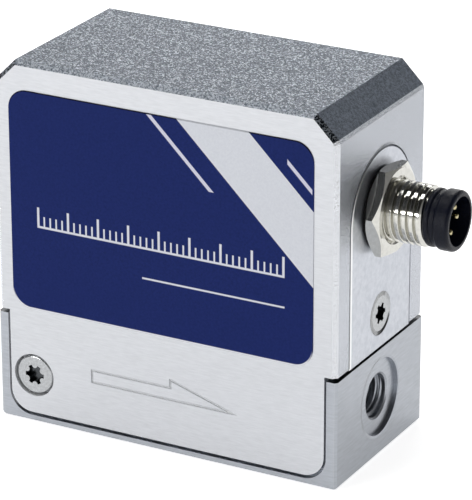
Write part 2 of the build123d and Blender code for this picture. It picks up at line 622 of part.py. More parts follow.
def connector_nut():
    nut = hex_nut(NUT_FLATS, NUT_THICKNESS, PLUG_THREAD_RADIUS + THREAD_GAP, NUT_CORNER_CUT)
    sink = Cone(PLUG_THREAD_RADIUS, NUT_COUNTERSINK, NUT_FLARE)
    nut -= Pos(0, 0, NUT_THICKNESS - NUT_FLARE / 2) * sink
    seat = (HALF_LENGTH + WASHER_THICKNESS, 0, PLUG_HEIGHT)
    turned = Plane(origin=seat, x_dir=(0, 1, 0), z_dir=(1, 0, 0))
    return turned.location * (Rot(0, 0, NUT_TURN) * nut)


def pin_places():
    """(y, z) of the four contacts: a close pair and a wide pair about one axis."""
    angles = [PIN_AXIS_ANGLE + side * half for half in (PIN_PAIR_ANGLE, PIN_WIDE_ANGLE) for side in (-1, 1)]
    places = [Pos(0, PLUG_HEIGHT) * Rot(0, 0, angle) * Pos(PIN_CIRCLE, 0) for angle in angles]
    return [(place.position.X, place.position.Y) for place in places]


def connector_insert():
    """Black plastic insert: stem in the shell, collar, neck and shroud with the socket."""
    collar_end = SHELL_FRONT + COLLAR_LENGTH
    neck_end = collar_end + NECK_LENGTH
    rim = HALF_LENGTH + SHROUD_REACH
    collar = rod_x(COLLAR_RADIUS, SHELL_FRONT, collar_end, 0, PLUG_HEIGHT)
    collar = fillet(collar.edges(), COLLAR_LENGTH * COLLAR_ROUND_SHARE)
    shroud = rod_x(SHROUD_RADIUS, neck_end, rim, 0, PLUG_HEIGHT)
    shroud = fillet(shroud.edges(), SHROUD_EDGE)
    body = rod_x(PLUG_BORE_RADIUS - THREAD_GAP, INSERT_BACK, SHELL_FRONT, 0, PLUG_HEIGHT)
    body += collar + shroud
    body += rod_x(NECK_RADIUS, SHELL_FRONT + COLLAR_LENGTH / 2, neck_end + SHROUD_EDGE, 0, PLUG_HEIGHT)
    body -= rod_x(SOCKET_RADIUS, rim - SOCKET_DEPTH, rim, 0, PLUG_HEIGHT)
    body -= rod_x(THROAT_RADIUS, rim - THROAT_DEPTH, rim, 0, PLUG_HEIGHT)
    for y, z in pin_places():
        body -= rod_x(PIN_RADIUS + THREAD_GAP, INSERT_BACK, rim, y, z)
    return body


def contact_pins():
    """Four gold contacts with rounded tips and solder tails."""
    tip = HALF_LENGTH + SHROUD_REACH - PIN_RECESS
    pins = []
    for y, z in pin_places():
        pin = rod_x(PIN_RADIUS, INSERT_BACK - PIN_TAIL, tip, y, z)
        pins.append(fillet(pin.faces().sort_by(Axis.X)[-1].edges(), PIN_RADIUS * PIN_ROUND_SHARE))
    return Compound(children=pins)


# ---- Gas path pieces in the base


def inlet_screen():
    """Perforated disc at the bottom of the inlet port."""
    disc = Circle(SCREEN_RADIUS)
    pitch = SCREEN_RADIUS / (SCREEN_RINGS + 1)
    for ring in range(1, SCREEN_RINGS + 1):
        for place in PolarLocations(pitch * ring, SCREEN_RING_HOLES * ring):
            disc -= place * Circle(SCREEN_HOLE_RADIUS)
    disc = Pos(0, PORT_HEIGHT) * disc
    return along_x(disc, -PORT_BOTTOM, ELEMENT_BORE_START)


def laminar_element():
    """Plug with fine parallel passages, which makes the pressure drop for the sensor."""
    plug = Circle(ELEMENT_RADIUS)
    for place in PolarLocations(ELEMENT_RADIUS * PASSAGE_RING_SHARE, PASSAGE_COUNT):
        plug -= place * Circle(ELEMENT_PASSAGE_RADIUS)
    plug -= Circle(ELEMENT_PASSAGE_RADIUS)
    return along_x(Pos(0, PORT_HEIGHT) * plug, ELEMENT_START, ELEMENT_END)


def valve_nozzle():
    """Pressed-in nozzle whose rim the plunger's pad closes."""
    outside = rod_z(NOZZLE_RADIUS, NOZZLE_BOTTOM, SEAT_HEIGHT, VALVE_X)
    return outside - rod_z(NOZZLE_BORE, NOZZLE_BOTTOM, SEAT_HEIGHT, VALVE_X)


# ---- Solenoid valve


def valve_seal():
    """Rubber ring in the base's groove, under the valve flange."""
    ring = Torus(SEAL_GROOVE_MIDDLE, SEAL_GROOVE_DEPTH / 2 - THREAD_GAP)
    return Pos(VALVE_X, 0, BASE_HEIGHT - SEAL_GROOVE_DEPTH / 2) * ring


def valve_flange():
    """Square steel flange that clamps the core tube to the base."""
    plate = Pos(VALVE_X, 0) * RectangleRounded(VALVE_FLANGE_SIDE, VALVE_FLANGE_SIDE, VALVE_FLANGE_CORNER)
    body = along_z(plate, BASE_HEIGHT, VALVE_FLANGE_TOP)
    body -= rod_z(TUBE_FLANGE_RADIUS + FACE_GAP, BASE_HEIGHT, BASE_HEIGHT + TUBE_FLANGE_THICKNESS, VALVE_X)
    body -= rod_z(TUBE_RADIUS + FACE_GAP, BASE_HEIGHT, VALVE_FLANGE_TOP, VALVE_X)
    seat = VALVE_FLANGE_TOP - SMALL_HEAD_HEIGHT
    for x, y in VALVE_SCREW_PLACES:
        body -= rod_z(SMALL_SCREW_RADIUS + FACE_GAP, BASE_HEIGHT, seat, x, y)
        body -= rod_z(SMALL_HEAD_RADIUS + FACE_GAP, seat, VALVE_FLANGE_TOP, x, y)
    return body


def valve_screws():
    screw = small_screw(VALVE_FLANGE_HEIGHT - SMALL_HEAD_HEIGHT + SMALL_SCREW_BITE)
    seat = VALVE_FLANGE_TOP - SMALL_HEAD_HEIGHT
    return Compound(children=[Pos(x, y, seat) * screw for x, y in VALVE_SCREW_PLACES])


def core_tube():
    """Thin steel tube that guides the plunger, with a flange on the base top."""
    tube = rod_z(TUBE_RADIUS, BASE_HEIGHT, TUBE_TOP, VALVE_X)
    tube += rod_z(TUBE_FLANGE_RADIUS, BASE_HEIGHT, BASE_HEIGHT + TUBE_FLANGE_THICKNESS, VALVE_X)
    return tube - rod_z(TUBE_BORE, BASE_HEIGHT, TUBE_TOP, VALVE_X)


def fixed_core():
    """Soft-iron core that closes the tube and carries the coil's stud."""
    core = rod_z(TUBE_BORE - THREAD_GAP, CORE_FACE, TUBE_TOP, VALVE_X)
    core += rod_z(TUBE_RADIUS, TUBE_TOP, BOBBIN_TOP, VALVE_X)
    core += rod_z(STUD_RADIUS, BOBBIN_TOP, YOKE_TOP + COIL_NUT_HEIGHT + STUD_SPARE, VALVE_X)
    return core - rod_z(SPRING_POCKET_RADIUS, CORE_FACE, CORE_FACE + SPRING_POCKET_DEPTH, VALVE_X)


def plunger():
    """Moving iron: a pocket for the spring above and for the sealing pad below."""
    body = rod_z(PLUNGER_RADIUS, SEAT_HEIGHT + PAD_PROUD, PLUNGER_TOP, VALVE_X)
    body -= rod_z(SPRING_POCKET_RADIUS, PLUNGER_TOP - SPRING_POCKET_DEPTH, PLUNGER_TOP, VALVE_X)
    return body - rod_z(PAD_RADIUS, SEAT_HEIGHT, SEAT_HEIGHT + PAD_THICKNESS, VALVE_X)


def plunger_pad():
    return rod_z(PAD_RADIUS, SEAT_HEIGHT, SEAT_HEIGHT + PAD_THICKNESS, VALVE_X)


def return_spring():
    """Coil spring between the plunger and the fixed core."""
    bottom = PLUNGER_TOP - SPRING_POCKET_DEPTH
    top = CORE_FACE + SPRING_POCKET_DEPTH
    rise = top - bottom - SPRING_WIRE
    path = Helix(pitch=rise / SPRING_TURNS, height=rise, radius=SPRING_COIL_RADIUS)
    wire = Plane(origin=path @ 0, z_dir=path % 0) * Circle(SPRING_WIRE / 2)
    return Pos(VALVE_X, 0, bottom + SPRING_WIRE / 2) * sweep(wire, path=path)


def coil_yoke():
    """Folded steel strip that carries the field round the coil."""
    back = VALVE_X - BOBBIN_FLANGE_RADIUS - YOKE_SIDE_GAP
    front = VALVE_X + YOKE_WIDTH / 2
    half = YOKE_WIDTH / 2
    strip = block(back - YOKE_THICKNESS, front, -half, half, VALVE_FLANGE_TOP, YOKE_TOP)
    strip -= block(back, front, -half, half, BOBBIN_BOTTOM, BOBBIN_TOP)
    strip = fillet(strip.edges().filter_by(Axis.Y).group_by(Axis.X)[0], YOKE_THICKNESS * YOKE_BEND_SHARE)
    strip -= rod_z(TUBE_RADIUS + FACE_GAP, VALVE_FLANGE_TOP, BOBBIN_BOTTOM, VALVE_X)
    return strip - rod_z(STUD_RADIUS + FACE_GAP, BOBBIN_TOP, YOKE_TOP, VALVE_X)


def coil_bobbin():
    """Plastic bobbin, with an ear at the top that holds the two coil terminals."""
    bore = TUBE_RADIUS + FACE_GAP
    body = rod_z(bore + BOBBIN_WALL, BOBBIN_BOTTOM, BOBBIN_TOP, VALVE_X)
    for bottom in (BOBBIN_BOTTOM, BOBBIN_TOP - BOBBIN_FLANGE_THICKNESS):
        body += rod_z(BOBBIN_FLANGE_RADIUS, bottom, bottom + BOBBIN_FLANGE_THICKNESS, VALVE_X)
    ear = TERMINAL_SPACING / 2 + TERMINAL_EAR
    ear_bottom = BOBBIN_TOP - BOBBIN_FLANGE_THICKNESS
    body += block(VALVE_X - ear, VALVE_X + ear, 0, BOARD_FRONT, ear_bottom, BOBBIN_TOP)
    body -= rod_z(bore, BOBBIN_BOTTOM, BOBBIN_TOP, VALVE_X)
    for x in TERMINAL_PLACES:
        body -= rod_y(TERMINAL_RADIUS, BOARD_FRONT - TERMINAL_SEAT, BOARD_FRONT, x, TERMINAL_HEIGHT)
    return body


def coil_winding():
    ring = Circle(WINDING_RADIUS) - Circle(TUBE_RADIUS + FACE_GAP + BOBBIN_WALL)
    bottom = BOBBIN_BOTTOM + BOBBIN_FLANGE_THICKNESS
    return along_z(Pos(VALVE_X, 0) * ring, bottom, BOBBIN_TOP - BOBBIN_FLANGE_THICKNESS)


def coil_nut():
    nut = hex_nut(COIL_NUT_FLATS, COIL_NUT_HEIGHT, STUD_RADIUS + THREAD_GAP, NUT_CORNER_CUT)
    return Pos(VALVE_X, 0, YOKE_TOP) * nut


def coil_terminals():
    """Two posts from the bobbin's ear through the main board."""
    start = BOARD_FRONT - TERMINAL_SEAT
    end = BOARD_BACK + TERMINAL_SPARE
    posts = [rod_y(TERMINAL_RADIUS, start, end, x, TERMINAL_HEIGHT) for x in TERMINAL_PLACES]
    return Compound(children=posts)


# ---- Flow sensor


def sensor_footprint(shrink, hole):
    """Rectangle over the laminar element with its two screw holes."""
    outline = RectangleRounded(MANIFOLD_LENGTH - shrink, MANIFOLD_WIDTH - shrink, SENSOR_CORNER)
    plate = Pos(SENSOR_X, 0) * outline
    for x, y in SENSOR_SCREW_PLACES:
        plate -= Pos(x, y) * Circle(hole)
    return plate


def sensor_gasket():
    sheet = sensor_footprint(0, SMALL_SCREW_RADIUS + FACE_GAP)
    for x in (TAP_IN, TAP_OUT):
        sheet -= Pos(x, 0) * Circle(TAP_RADIUS)
    return along_z(sheet, BASE_HEIGHT, MANIFOLD_BOTTOM)


def sensor_manifold():
    """Block that leads a little of the gas past the sensor die."""
    body = along_z(sensor_footprint(0, SMALL_SCREW_RADIUS + FACE_GAP), MANIFOLD_BOTTOM, MANIFOLD_TOP)
    half = BYPASS_WIDTH / 2
    body -= block(TAP_IN, TAP_OUT, -half, half, MANIFOLD_TOP - BYPASS_DEPTH, MANIFOLD_TOP)
    for x in (TAP_IN, TAP_OUT):
        body -= rod_z(TAP_RADIUS, MANIFOLD_BOTTOM, MANIFOLD_TOP, x)
    return body


def sensor_board():
    sheet = sensor_footprint(2 * FACE_GAP, SMALL_SCREW_RADIUS + FACE_GAP)
    return along_z(sheet, MANIFOLD_TOP, SENSOR_BOARD_TOP)


def sensor_die():
    """Silicon die on the board's underside, in the bypass channel."""
    half_width = BYPASS_WIDTH / 2 - FACE_GAP
    half_length = SENSOR_DIE_LENGTH / 2
    bottom = MANIFOLD_TOP - BYPASS_DEPTH / 2
    die = block(-half_length, half_length, -half_width, half_width, bottom, MANIFOLD_TOP)
    return Pos(SENSOR_X, 0, 0) * die


def sensor_amplifier():
    package = along_z(Rectangle(SENSOR_CHIP_SIDE, SENSOR_CHIP_SIDE), 0, SENSOR_CHIP_HEIGHT)
    package = chamfer(package.faces().sort_by(Axis.Z)[-1].edges(), FACE_GAP)
    return Pos(SENSOR_X, 0, SENSOR_BOARD_TOP) * package


def sensor_screws():
    screw = small_screw(SENSOR_BOARD_TOP - BASE_HEIGHT + SMALL_SCREW_BITE)
    return Compound(children=[Pos(x, y, SENSOR_BOARD_TOP) * screw for x, y in SENSOR_SCREW_PLACES])


def sensor_flex():
    """Flexible ribbon from the sensor board up into its socket on the main board."""
    start = SENSOR_CHIP_SIDE / 2 + FLEX_START_GAP
    front = FLEX_Y - FLEX_THICKNESS / 2
    back = FLEX_Y + FLEX_THICKNESS / 2
    low = SENSOR_BOARD_TOP
    high = SENSOR_BOARD_TOP + FLEX_THICKNESS
    end = FLEX_SOCKET_BOTTOM
    outline = [(start, low), (back, low), (back, end), (front, end), (front, high), (start, high)]
    strip = Polygon(*outline, align=None)
    corners = strip.vertices()
    strip = fillet(corners.sort_by_distance((back, low, 0))[0], FLEX_BEND + FLEX_THICKNESS)
    strip = fillet(strip.vertices().sort_by_distance((front, high, 0))[0], FLEX_BEND)
    return along_x(strip, SENSOR_X - FLEX_WIDTH / 2, SENSOR_X + FLEX_WIDTH / 2)


# ---- Circuit boards


def main_board():
    board = block(BOARD_LEFT, BOARD_RIGHT, BOARD_FRONT, BOARD_BACK, BOARD_BOTTOM, BOARD_TOP)
    for x, z in BOARD_SCREW_PLACES:
        board -= rod_y(SMALL_SCREW_RADIUS + FACE_GAP, BOARD_FRONT, BOARD_BACK, x, z)
    for x in TERMINAL_PLACES:
        board -= rod_y(TERMINAL_RADIUS + FACE_GAP, BOARD_FRONT, BOARD_BACK, x, TERMINAL_HEIGHT)
    return board


def board_bracket():
    """Folded sheet: a foot screwed to the base and an upright behind the main board."""
    foot_top = BASE_HEIGHT + BRACKET_THICKNESS
    sheet = block(BRACKET_LEFT, BRACKET_RIGHT, BRACKET_FOOT_FRONT, BRACKET_BACK, BASE_HEIGHT, foot_top)
    sheet += block(BRACKET_LEFT, BRACKET_RIGHT, BRACKET_FRONT, BRACKET_BACK, BASE_HEIGHT, BRACKET_TOP)
    outer_bend = sheet.edges().filter_by(Axis.X).sort_by_distance((0, BRACKET_BACK, BASE_HEIGHT))[0]
    sheet = fillet(outer_bend, BRACKET_THICKNESS)
    for x, y in BRACKET_SCREW_PLACES:
        sheet -= rod_z(SMALL_SCREW_RADIUS + FACE_GAP, BASE_HEIGHT, foot_top, x, y)
    for x, z in BOARD_SCREW_PLACES:
        sheet -= rod_y(SMALL_SCREW_RADIUS + THREAD_GAP, BRACKET_FRONT, BRACKET_BACK, x, z)
    return sheet


def bracket_screws():
    screw = small_screw(BRACKET_THICKNESS + SMALL_SCREW_BITE)
    foot_top = BASE_HEIGHT + BRACKET_THICKNESS
    return Compound(children=[Pos(x, y, foot_top) * screw for x, y in BRACKET_SCREW_PLACES])


def board_spacers():
    ring = Circle(SMALL_HEAD_RADIUS) - Circle(SMALL_SCREW_RADIUS + FACE_GAP)
    spacer = along_y(ring, BOARD_BACK, BRACKET_FRONT)
    return Compound(children=[Pos(x, 0, z) * spacer for x, z in BOARD_SCREW_PLACES])


def board_screws():
    screw = small_screw(BRACKET_BACK - BOARD_FRONT)
    return Compound(children=[aimed(screw, (x, BOARD_FRONT, z), (0, -1, 0)) for x, z in BOARD_SCREW_PLACES])


def board_chip(x, z, length, width):
    """Black package on the main board's front side."""
    front = BOARD_FRONT - CHIP_HEIGHT
    return block(x - length / 2, x + length / 2, front, BOARD_FRONT, z - width / 2, z + width / 2)


def board_capacitors():
    """Row of round capacitors on the main board, above the valve."""
    z = BOARD_TOP - CAPACITOR_RADIUS - BOARD_MARGIN
    row = []
    for index in range(CAPACITOR_COUNT):
        x = VALVE_X + (index - (CAPACITOR_COUNT - 1) / 2) * CAPACITOR_PITCH
        can = rod_y(CAPACITOR_RADIUS, BOARD_FRONT - CAPACITOR_HEIGHT, BOARD_FRONT, x, z)
        row.append(fillet(can.faces().sort_by(Axis.Y)[0].edges(), CAPACITOR_ROUND))
    return Compound(children=row)


def flex_socket():
    """Socket on the main board with a slot for the sensor's ribbon."""
    half = FLEX_WIDTH / 2 + BOARD_MARGIN / 2
    front = BOARD_FRONT - FLEX_SOCKET_DEPTH
    top = FLEX_SOCKET_BOTTOM + FLEX_SOCKET_HEIGHT
    return block(SENSOR_X - half, SENSOR_X + half, front, BOARD_FRONT, FLEX_SOCKET_BOTTOM, top)


def connector_board():
    """Small board soldered to the plug's contacts, square to the main board."""
    bottom = PLUG_HEIGHT - PLUG_BOARD_HEIGHT / 2
    top = PLUG_HEIGHT + PLUG_BOARD_HEIGHT / 2
    board = block(PLUG_BOARD_BACK, INSERT_BACK, -PLUG_BOARD_WIDTH / 2, BOARD_FRONT, bottom, top)
    for y, z in pin_places():
        board -= rod_x(PIN_RADIUS + FACE_GAP, PLUG_BOARD_BACK, INSERT_BACK, y, z)
    return board


def board_header():
    """Angled header that joins the two boards."""
    front = BOARD_FRONT - HEADER_LENGTH
    bottom = PLUG_HEIGHT - HEADER_HEIGHT / 2
    top = PLUG_HEIGHT + HEADER_HEIGHT / 2
    return block(HEADER_LEFT, PLUG_BOARD_BACK, front, BOARD_FRONT, bottom, top)


# ---- Build every node

save("base_block", base_block())
save("cover", cover())
save("label", label())
save("cover_screws", cover_screws())
save("connector_plate", connector_plate())
save("plate_screw", plate_screw())
save("connector_shell", connector_shell())
save("nut_washer", nut_washer())
save("connector_nut", connector_nut())
save("connector_insert", connector_insert())
save("contact_pins", contact_pins())
save("inlet_screen", inlet_screen())
save("laminar_element", laminar_element())
save("valve_nozzle", valve_nozzle())
save("valve_seal", valve_seal())
save("valve_flange", valve_flange())
save("valve_screws", valve_screws())
save("core_tube", core_tube())
save("fixed_core", fixed_core())
save("plunger", plunger())
save("plunger_pad", plunger_pad())
save("return_spring", return_spring())
save("coil_yoke", coil_yoke())
save("coil_bobbin", coil_bobbin())
save("coil_winding", coil_winding())
save("coil_nut", coil_nut())
save("coil_terminals", coil_terminals())
save("sensor_gasket", sensor_gasket())
save("sensor_manifold", sensor_manifold())
save("sensor_board", sensor_board())
save("sensor_die", sensor_die())
save("sensor_amplifier", sensor_amplifier())
save("sensor_screws", sensor_screws())
save("sensor_flex", sensor_flex())
save("main_board", main_board())
save("board_bracket", board_bracket())
save("bracket_screws", bracket_screws())
save("board_spacers", board_spacers())
save("board_screws", board_screws())
save("controller_chip", board_chip(SENSOR_X, CHIP_CENTRE_Z, CHIP_SIDE, CHIP_SIDE))
save("valve_driver_chip", board_chip(DRIVER_X, CHIP_CENTRE_Z, DRIVER_LENGTH, DRIVER_WIDTH))
save("board_capacitors", board_capacitors())
save("flex_socket", flex_socket())
save("connector_board", connector_board())
save("board_header", board_header())
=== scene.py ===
# %% [markdown]
# # A thermal mass flow controller
# The machined parts come ready-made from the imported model, so this lesson gives them their
# finishes and adds the few surfaces that are easier to compute than to draw: the screw threads
# and the coiled spring. Everything already stands where it belongs.

# %% Load the machined parts
import json
import math

import bpy
import numpy as np
from mathutils import Matrix, Vector

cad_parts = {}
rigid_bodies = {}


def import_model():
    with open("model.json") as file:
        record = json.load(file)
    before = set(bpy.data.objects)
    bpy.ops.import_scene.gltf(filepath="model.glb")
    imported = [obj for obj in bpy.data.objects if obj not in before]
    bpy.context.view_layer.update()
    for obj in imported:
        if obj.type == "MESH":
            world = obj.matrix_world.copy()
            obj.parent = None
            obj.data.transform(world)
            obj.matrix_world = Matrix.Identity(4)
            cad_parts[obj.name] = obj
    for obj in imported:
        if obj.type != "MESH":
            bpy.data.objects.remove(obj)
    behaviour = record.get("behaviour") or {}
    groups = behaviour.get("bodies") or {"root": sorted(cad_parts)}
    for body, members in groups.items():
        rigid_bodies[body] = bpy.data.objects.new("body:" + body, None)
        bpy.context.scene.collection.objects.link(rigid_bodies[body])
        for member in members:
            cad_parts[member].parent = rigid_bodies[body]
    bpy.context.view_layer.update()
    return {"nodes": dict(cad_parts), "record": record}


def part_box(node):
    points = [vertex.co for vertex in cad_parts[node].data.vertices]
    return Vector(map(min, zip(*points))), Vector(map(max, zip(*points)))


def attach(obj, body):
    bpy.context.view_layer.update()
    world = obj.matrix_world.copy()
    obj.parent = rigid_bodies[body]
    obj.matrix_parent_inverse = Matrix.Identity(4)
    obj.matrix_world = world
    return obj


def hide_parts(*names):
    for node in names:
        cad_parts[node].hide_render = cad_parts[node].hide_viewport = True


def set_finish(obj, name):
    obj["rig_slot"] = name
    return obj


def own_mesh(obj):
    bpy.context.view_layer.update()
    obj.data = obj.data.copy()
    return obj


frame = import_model()
print("machined parts:", len(frame["nodes"]))

# %% [markdown]
# The lesson counts in millimetres, as a drawing does, and turns to metres only where a mesh is
# written. What the machined parts already know isn't typed again: each place below comes
# from a part's box or from the record of where other things are fastened, rounded to a
# micrometre.

# %% Places read from the machined parts
MM = 0.001


def box_mm(node):
    """Lowest and highest corner of a machined part, in millimetres."""
    return np.array(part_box(node)) / MM


mounts = {mount["name"]: mount for mount in frame["record"]["mounts"]}
PORT_Z = round(mounts["outlet_port"]["pos_m"][2] / MM, 3)
PORT_RADIUS = mounts["outlet_port"]["dims"]["r_mm"]
PLUG_Z = round(mounts["connector_thread"]["pos_m"][2] / MM, 3)
PLUG_RADIUS = mounts["connector_thread"]["dims"]["r_mm"]
FOOT_HOLES = mounts["base_holes"]["dims"]

shell_low, shell_high = box_mm("connector_shell").round(3)
plate_low, plate_high = box_mm("connector_plate").round(3)
heads_low, heads_high = box_mm("cover_screws").round(3)
side_head_low, side_head_high = box_mm("plate_screw").round(3)
FRONT_Y = box_mm("cover").round(3)[0][1]
COVER_SCREW_Z = round((heads_low[2] + heads_high[2]) / 2, 3)
COVER_SCREW_X = round(heads_high[0] - (heads_high[2] - COVER_SCREW_Z), 3)
SIDE_SCREW_Z = round((side_head_low[2] + side_head_high[2]) / 2, 3)
print("plug axis", PLUG_Z, "port axis", PORT_Z, "cover screws", COVER_SCREW_X, COVER_SCREW_Z)

# %% [markdown]
# Every computed piece here is a tube closed on itself, like a ring: one direction runs round the
# screw's axis, the other round the cross-section. A grid of quads that joins its last row to
# its first has no edge left open, so the surface always has an inside.

# %% A closed ring of quads, and its mesh
def ring_faces(rows, columns):
    """Quads of a grid whose rows and columns both wrap: (i, j), (i+1, j), (i+1, j+1), (i, j+1)."""
    i, j = np.meshgrid(np.arange(rows), np.arange(columns), indexing="ij")
    i_next, j_next = (i + 1) % rows, (j + 1) % columns
    corners = [i * columns + j, i_next * columns + j, i_next * columns + j_next,
               i * columns + j_next]
    return np.stack(corners, axis=-1).reshape(-1, 4)


def add_piece(name, mesh, slot):
    """Puts a mesh in the scene as a visible piece that rides on the housing."""
    piece = bpy.data.objects.new(name, mesh)
    bpy.context.scene.collection.objects.link(piece)
    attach(piece, "housing")
    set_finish(piece, slot)
    print(name, len(mesh.polygons), "faces")
    return piece


def make_ring(name, points, faces, slot):
    """Piece from an (n, 3) array in millimetres and an (m, 4) array of quads."""
    mesh = bpy.data.meshes.new(name)
    mesh.vertices.add(len(points))
    mesh.vertices.foreach_set("co", (points * MM).astype(np.float32).ravel())
    mesh.loops.add(faces.size)
    mesh.loops.foreach_set("vertex_index", faces.astype(np.int32).ravel())
    mesh.polygons.add(len(faces))
    mesh.polygons.foreach_set("loop_start", np.arange(0, faces.size, 4, dtype=np.int32))
    mesh.polygons.foreach_set("use_smooth", np.ones(len(faces), dtype=bool))
    mesh.update(calc_edges=True)
    mesh.validate()
    return add_piece(name, mesh, slot)


# %% [markdown]
# A metric thread is one groove wound round a rod. Cut the rod along its axis and the groove shows
# as a zigzag with flattened tips; turn it a little and the zigzag has moved along by the
# same share of the pitch. So the height of the thread depends only on one number: the
# distance along the axis in pitches, less the angle in turns. It could be swept as a ridge
# along a helix, but as a height it stays one clean surface with no joints.

# %% The thread's height
CREST_FLAT, ROOT_FLAT = 0.22, 0.04


def thread_height(along, angle, pitch):
    """0 in the groove and 1 on the crest: the phase is along / pitch less the turns made, its
    distance from the crest's middle runs 0 to 1/2, and the flank between the flats falls as
    3 s^2 - 2 s^3, so crest and root are slightly round, as rolling and plating leave them."""
    phase = along / pitch - angle / (2 * np.pi)
    from_crest = np.abs(phase - np.round(phase))
    s = np.clip((0.5 - ROOT_FLAT - from_crest) / (0.5 - ROOT_FLAT - CREST_FLAT), 0, 1)
    return s * s * (3 - 2 * s)


def on_axis_x(along, radius, angle, axis_z):
    """Points of a surface round an axis parallel to X: (along, r cos a, axis + r sin a)."""
    y = radius * np.cos(angle)
    z = axis_z + radius * np.sin(angle)
    return np.stack(np.broadcast_arrays(along, y, z), axis=-1).reshape(-1, 3)


# %% [markdown]
# ## The plug's threaded shell
# On the real plug this is a turned brass tube, nickel plated, with an M8 x 1 thread for the
# cable's ring nut and a flange behind the plate. Its cross-section is a closed loop: along the
# bore, out round the flange, forward under the nut, over the thread and back. Only the thread's
# rows change with the angle. The tube's end is bevelled, so the last crest dies away. A hair's
# breadth, TINY, keeps one row from falling on the next.

# %% Build the threaded shell
SHELL_BACK, SHELL_FRONT = shell_low[0], shell_high[0]
FLANGE_RADIUS = shell_high[1]
BORE_RADIUS, ROOT_RADIUS = 3.1, 3.44
THREAD_START, PLUG_PITCH, CREST_OFFSET = 26.6, 1.0, 0.35
END_BEVEL, BEVEL_SLOPE = 0.42, 1.15
MOUTH_BEVEL = 0.05
TINY = 0.02

angles = np.linspace(0, 2 * np.pi, 240, endpoint=False)[None, :]
thread_x = np.linspace(THREAD_START, SHELL_FRONT - TINY, 200)[:, None]
bevel_r = PLUG_RADIUS - np.clip(thread_x - (SHELL_FRONT - END_BEVEL), 0, None) * BEVEL_SLOPE
ridge = (PLUG_RADIUS - ROOT_RADIUS) * thread_height(thread_x - CREST_OFFSET, angles, PLUG_PITCH)
thread_r = np.minimum(ROOT_RADIUS + ridge, bevel_r)
plain = [(SHELL_BACK, BORE_RADIUS), (SHELL_BACK, FLANGE_RADIUS), (plate_low[0], FLANGE_RADIUS),
         (plate_low[0], PLUG_RADIUS), (THREAD_START - TINY, PLUG_RADIUS)]
mouth = [(SHELL_FRONT, BORE_RADIUS + MOUTH_BEVEL), (SHELL_FRONT - MOUTH_BEVEL, BORE_RADIUS)]
plain_x, plain_r = np.array(plain).T[:, :, None]
mouth_x, mouth_r = np.array(mouth).T[:, :, None]
shell_x = np.concatenate([plain_x, thread_x, mouth_x]) + 0 * angles
shell_r = np.concatenate([plain_r + 0 * angles, thread_r, mouth_r + 0 * angles])
shell_points = on_axis_x(shell_x, shell_r, angles, PLUG_Z)
shell_faces = ring_faces(*shell_r.shape)[:, ::-1]
plug_thread = make_ring("plug_thread", shell_points, shell_faces, "connector_nickel")
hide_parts("connector_shell")

# %% [markdown]
# ## The ports' threads
# A fitting screws into each end of the base. The bore is in the block already, so the thread
# is a thin sleeve set into its wall: the hidden outside is a plain cylinder, the inside carries
# the ridges. At the mouth and at the bottom the ridges fade out, as a tap leaves them.

# %% Build the port threads
PLAIN_TURNS, FADE_TURNS = 0.6, 0.35
SET_INTO_WALL = 0.05
PORT_MOUTH, PORT_BOTTOM = 24.42, 17.6
PORT_MINOR, PORT_PITCH = 2.46, 1.0


def threaded_sleeve(start, end, major, minor, pitch, columns, rows_per_pitch):
    """Ring whose inside radius is major less (major - minor) times the thread's height times a
    fade: 0 for the first plain turns at each end and 1 once the fading turns are over."""
    angle = np.linspace(0, 2 * np.pi, columns, endpoint=False)[None, :]
    count = int(abs(end - start) / pitch * rows_per_pitch)
    along = np.linspace(start, end, count)[:, None]
    from_end = np.minimum(np.abs(along - start), np.abs(end - along))
    fade = np.clip(from_end / (FADE_TURNS * pitch) - PLAIN_TURNS / FADE_TURNS, 0, 1)
    inside = major - TINY - (major - minor) * thread_height(along, angle, pitch) * fade
    outside = np.full((2, columns), major + SET_INTO_WALL)
    radius = np.concatenate([inside, outside])
    along = np.concatenate([along, [[end], [start]]]) + 0 * angle
    return along, radius, angle


def port_thread(name, side):
    """Thread of the port on the side +1 or -1 of the base, from its mouth inward."""
    along, radius, angle = threaded_sleeve(
        side * PORT_MOUTH, side * PORT_BOTTOM, PORT_RADIUS, PORT_MINOR, PORT_PITCH, 112, 16)
    faces = ring_faces(*radius.shape)[:, ::side * -1]
    return make_ring(name, on_axis_x(along, radius, angle, PORT_Z), faces, "base_metal")


port_thread("outlet_thread", 1)
port_thread("inlet_thread", -1)

# %% [markdown]
# Four M3 threads in the underside take the screws that hold the controller down. They are the
# same sleeve, stood upright and repeated at the corners of a rectangle.

# %% Build the foot threads
FOOT_START, FOOT_END, FOOT_MINOR, FOOT_PITCH = 0.15, 5.2, 1.24, 0.5


def foot_thread(name, x, y):
    along, radius, angle = threaded_sleeve(
        FOOT_START, FOOT_END, FOOT_HOLES["hole_r_mm"], FOOT_MINOR, FOOT_PITCH, 48, 8)
    points = np.stack([x + radius * np.cos(angle), y + radius * np.sin(angle), along], axis=-1)
    return make_ring(name, points.reshape(-1, 3), ring_faces(*radius.shape), "base_metal")


foot_x, foot_y = FOOT_HOLES["spacing_x_mm"] / 2, FOOT_HOLES["spacing_y_mm"] / 2
corners = [(side_x * foot_x, side_y * foot_y) for side_y in (-1, 1) for side_x in (-1, 1)]
for number, (x, y) in enumerate(corners):
    foot_thread(f"foot_thread_{number + 1}", x, y)

# %% [markdown]
# ## The return spring
# Inside the valve a small coil spring holds the iron plunger down on its nozzle. When the
# plunger lifts, the real spring gets shorter, which a rigid solid can't do, so this surface
# stands for it; it keeps one length and rides on the housing. It is a round wire carried along a
# helix: the end turns lie close together, as on a spring that is ground flat to stand square.
# The two cut ends are flat caps.

# %% Build the return spring
SPRING_TURNS, WIRE_RADIUS, COIL_RADIUS = 7, 0.15, 1.0
END_TURN_RISE = 0.32
spring_low, spring_high = box_mm("return_spring")
spring_height = spring_high[2] - spring_low[2]


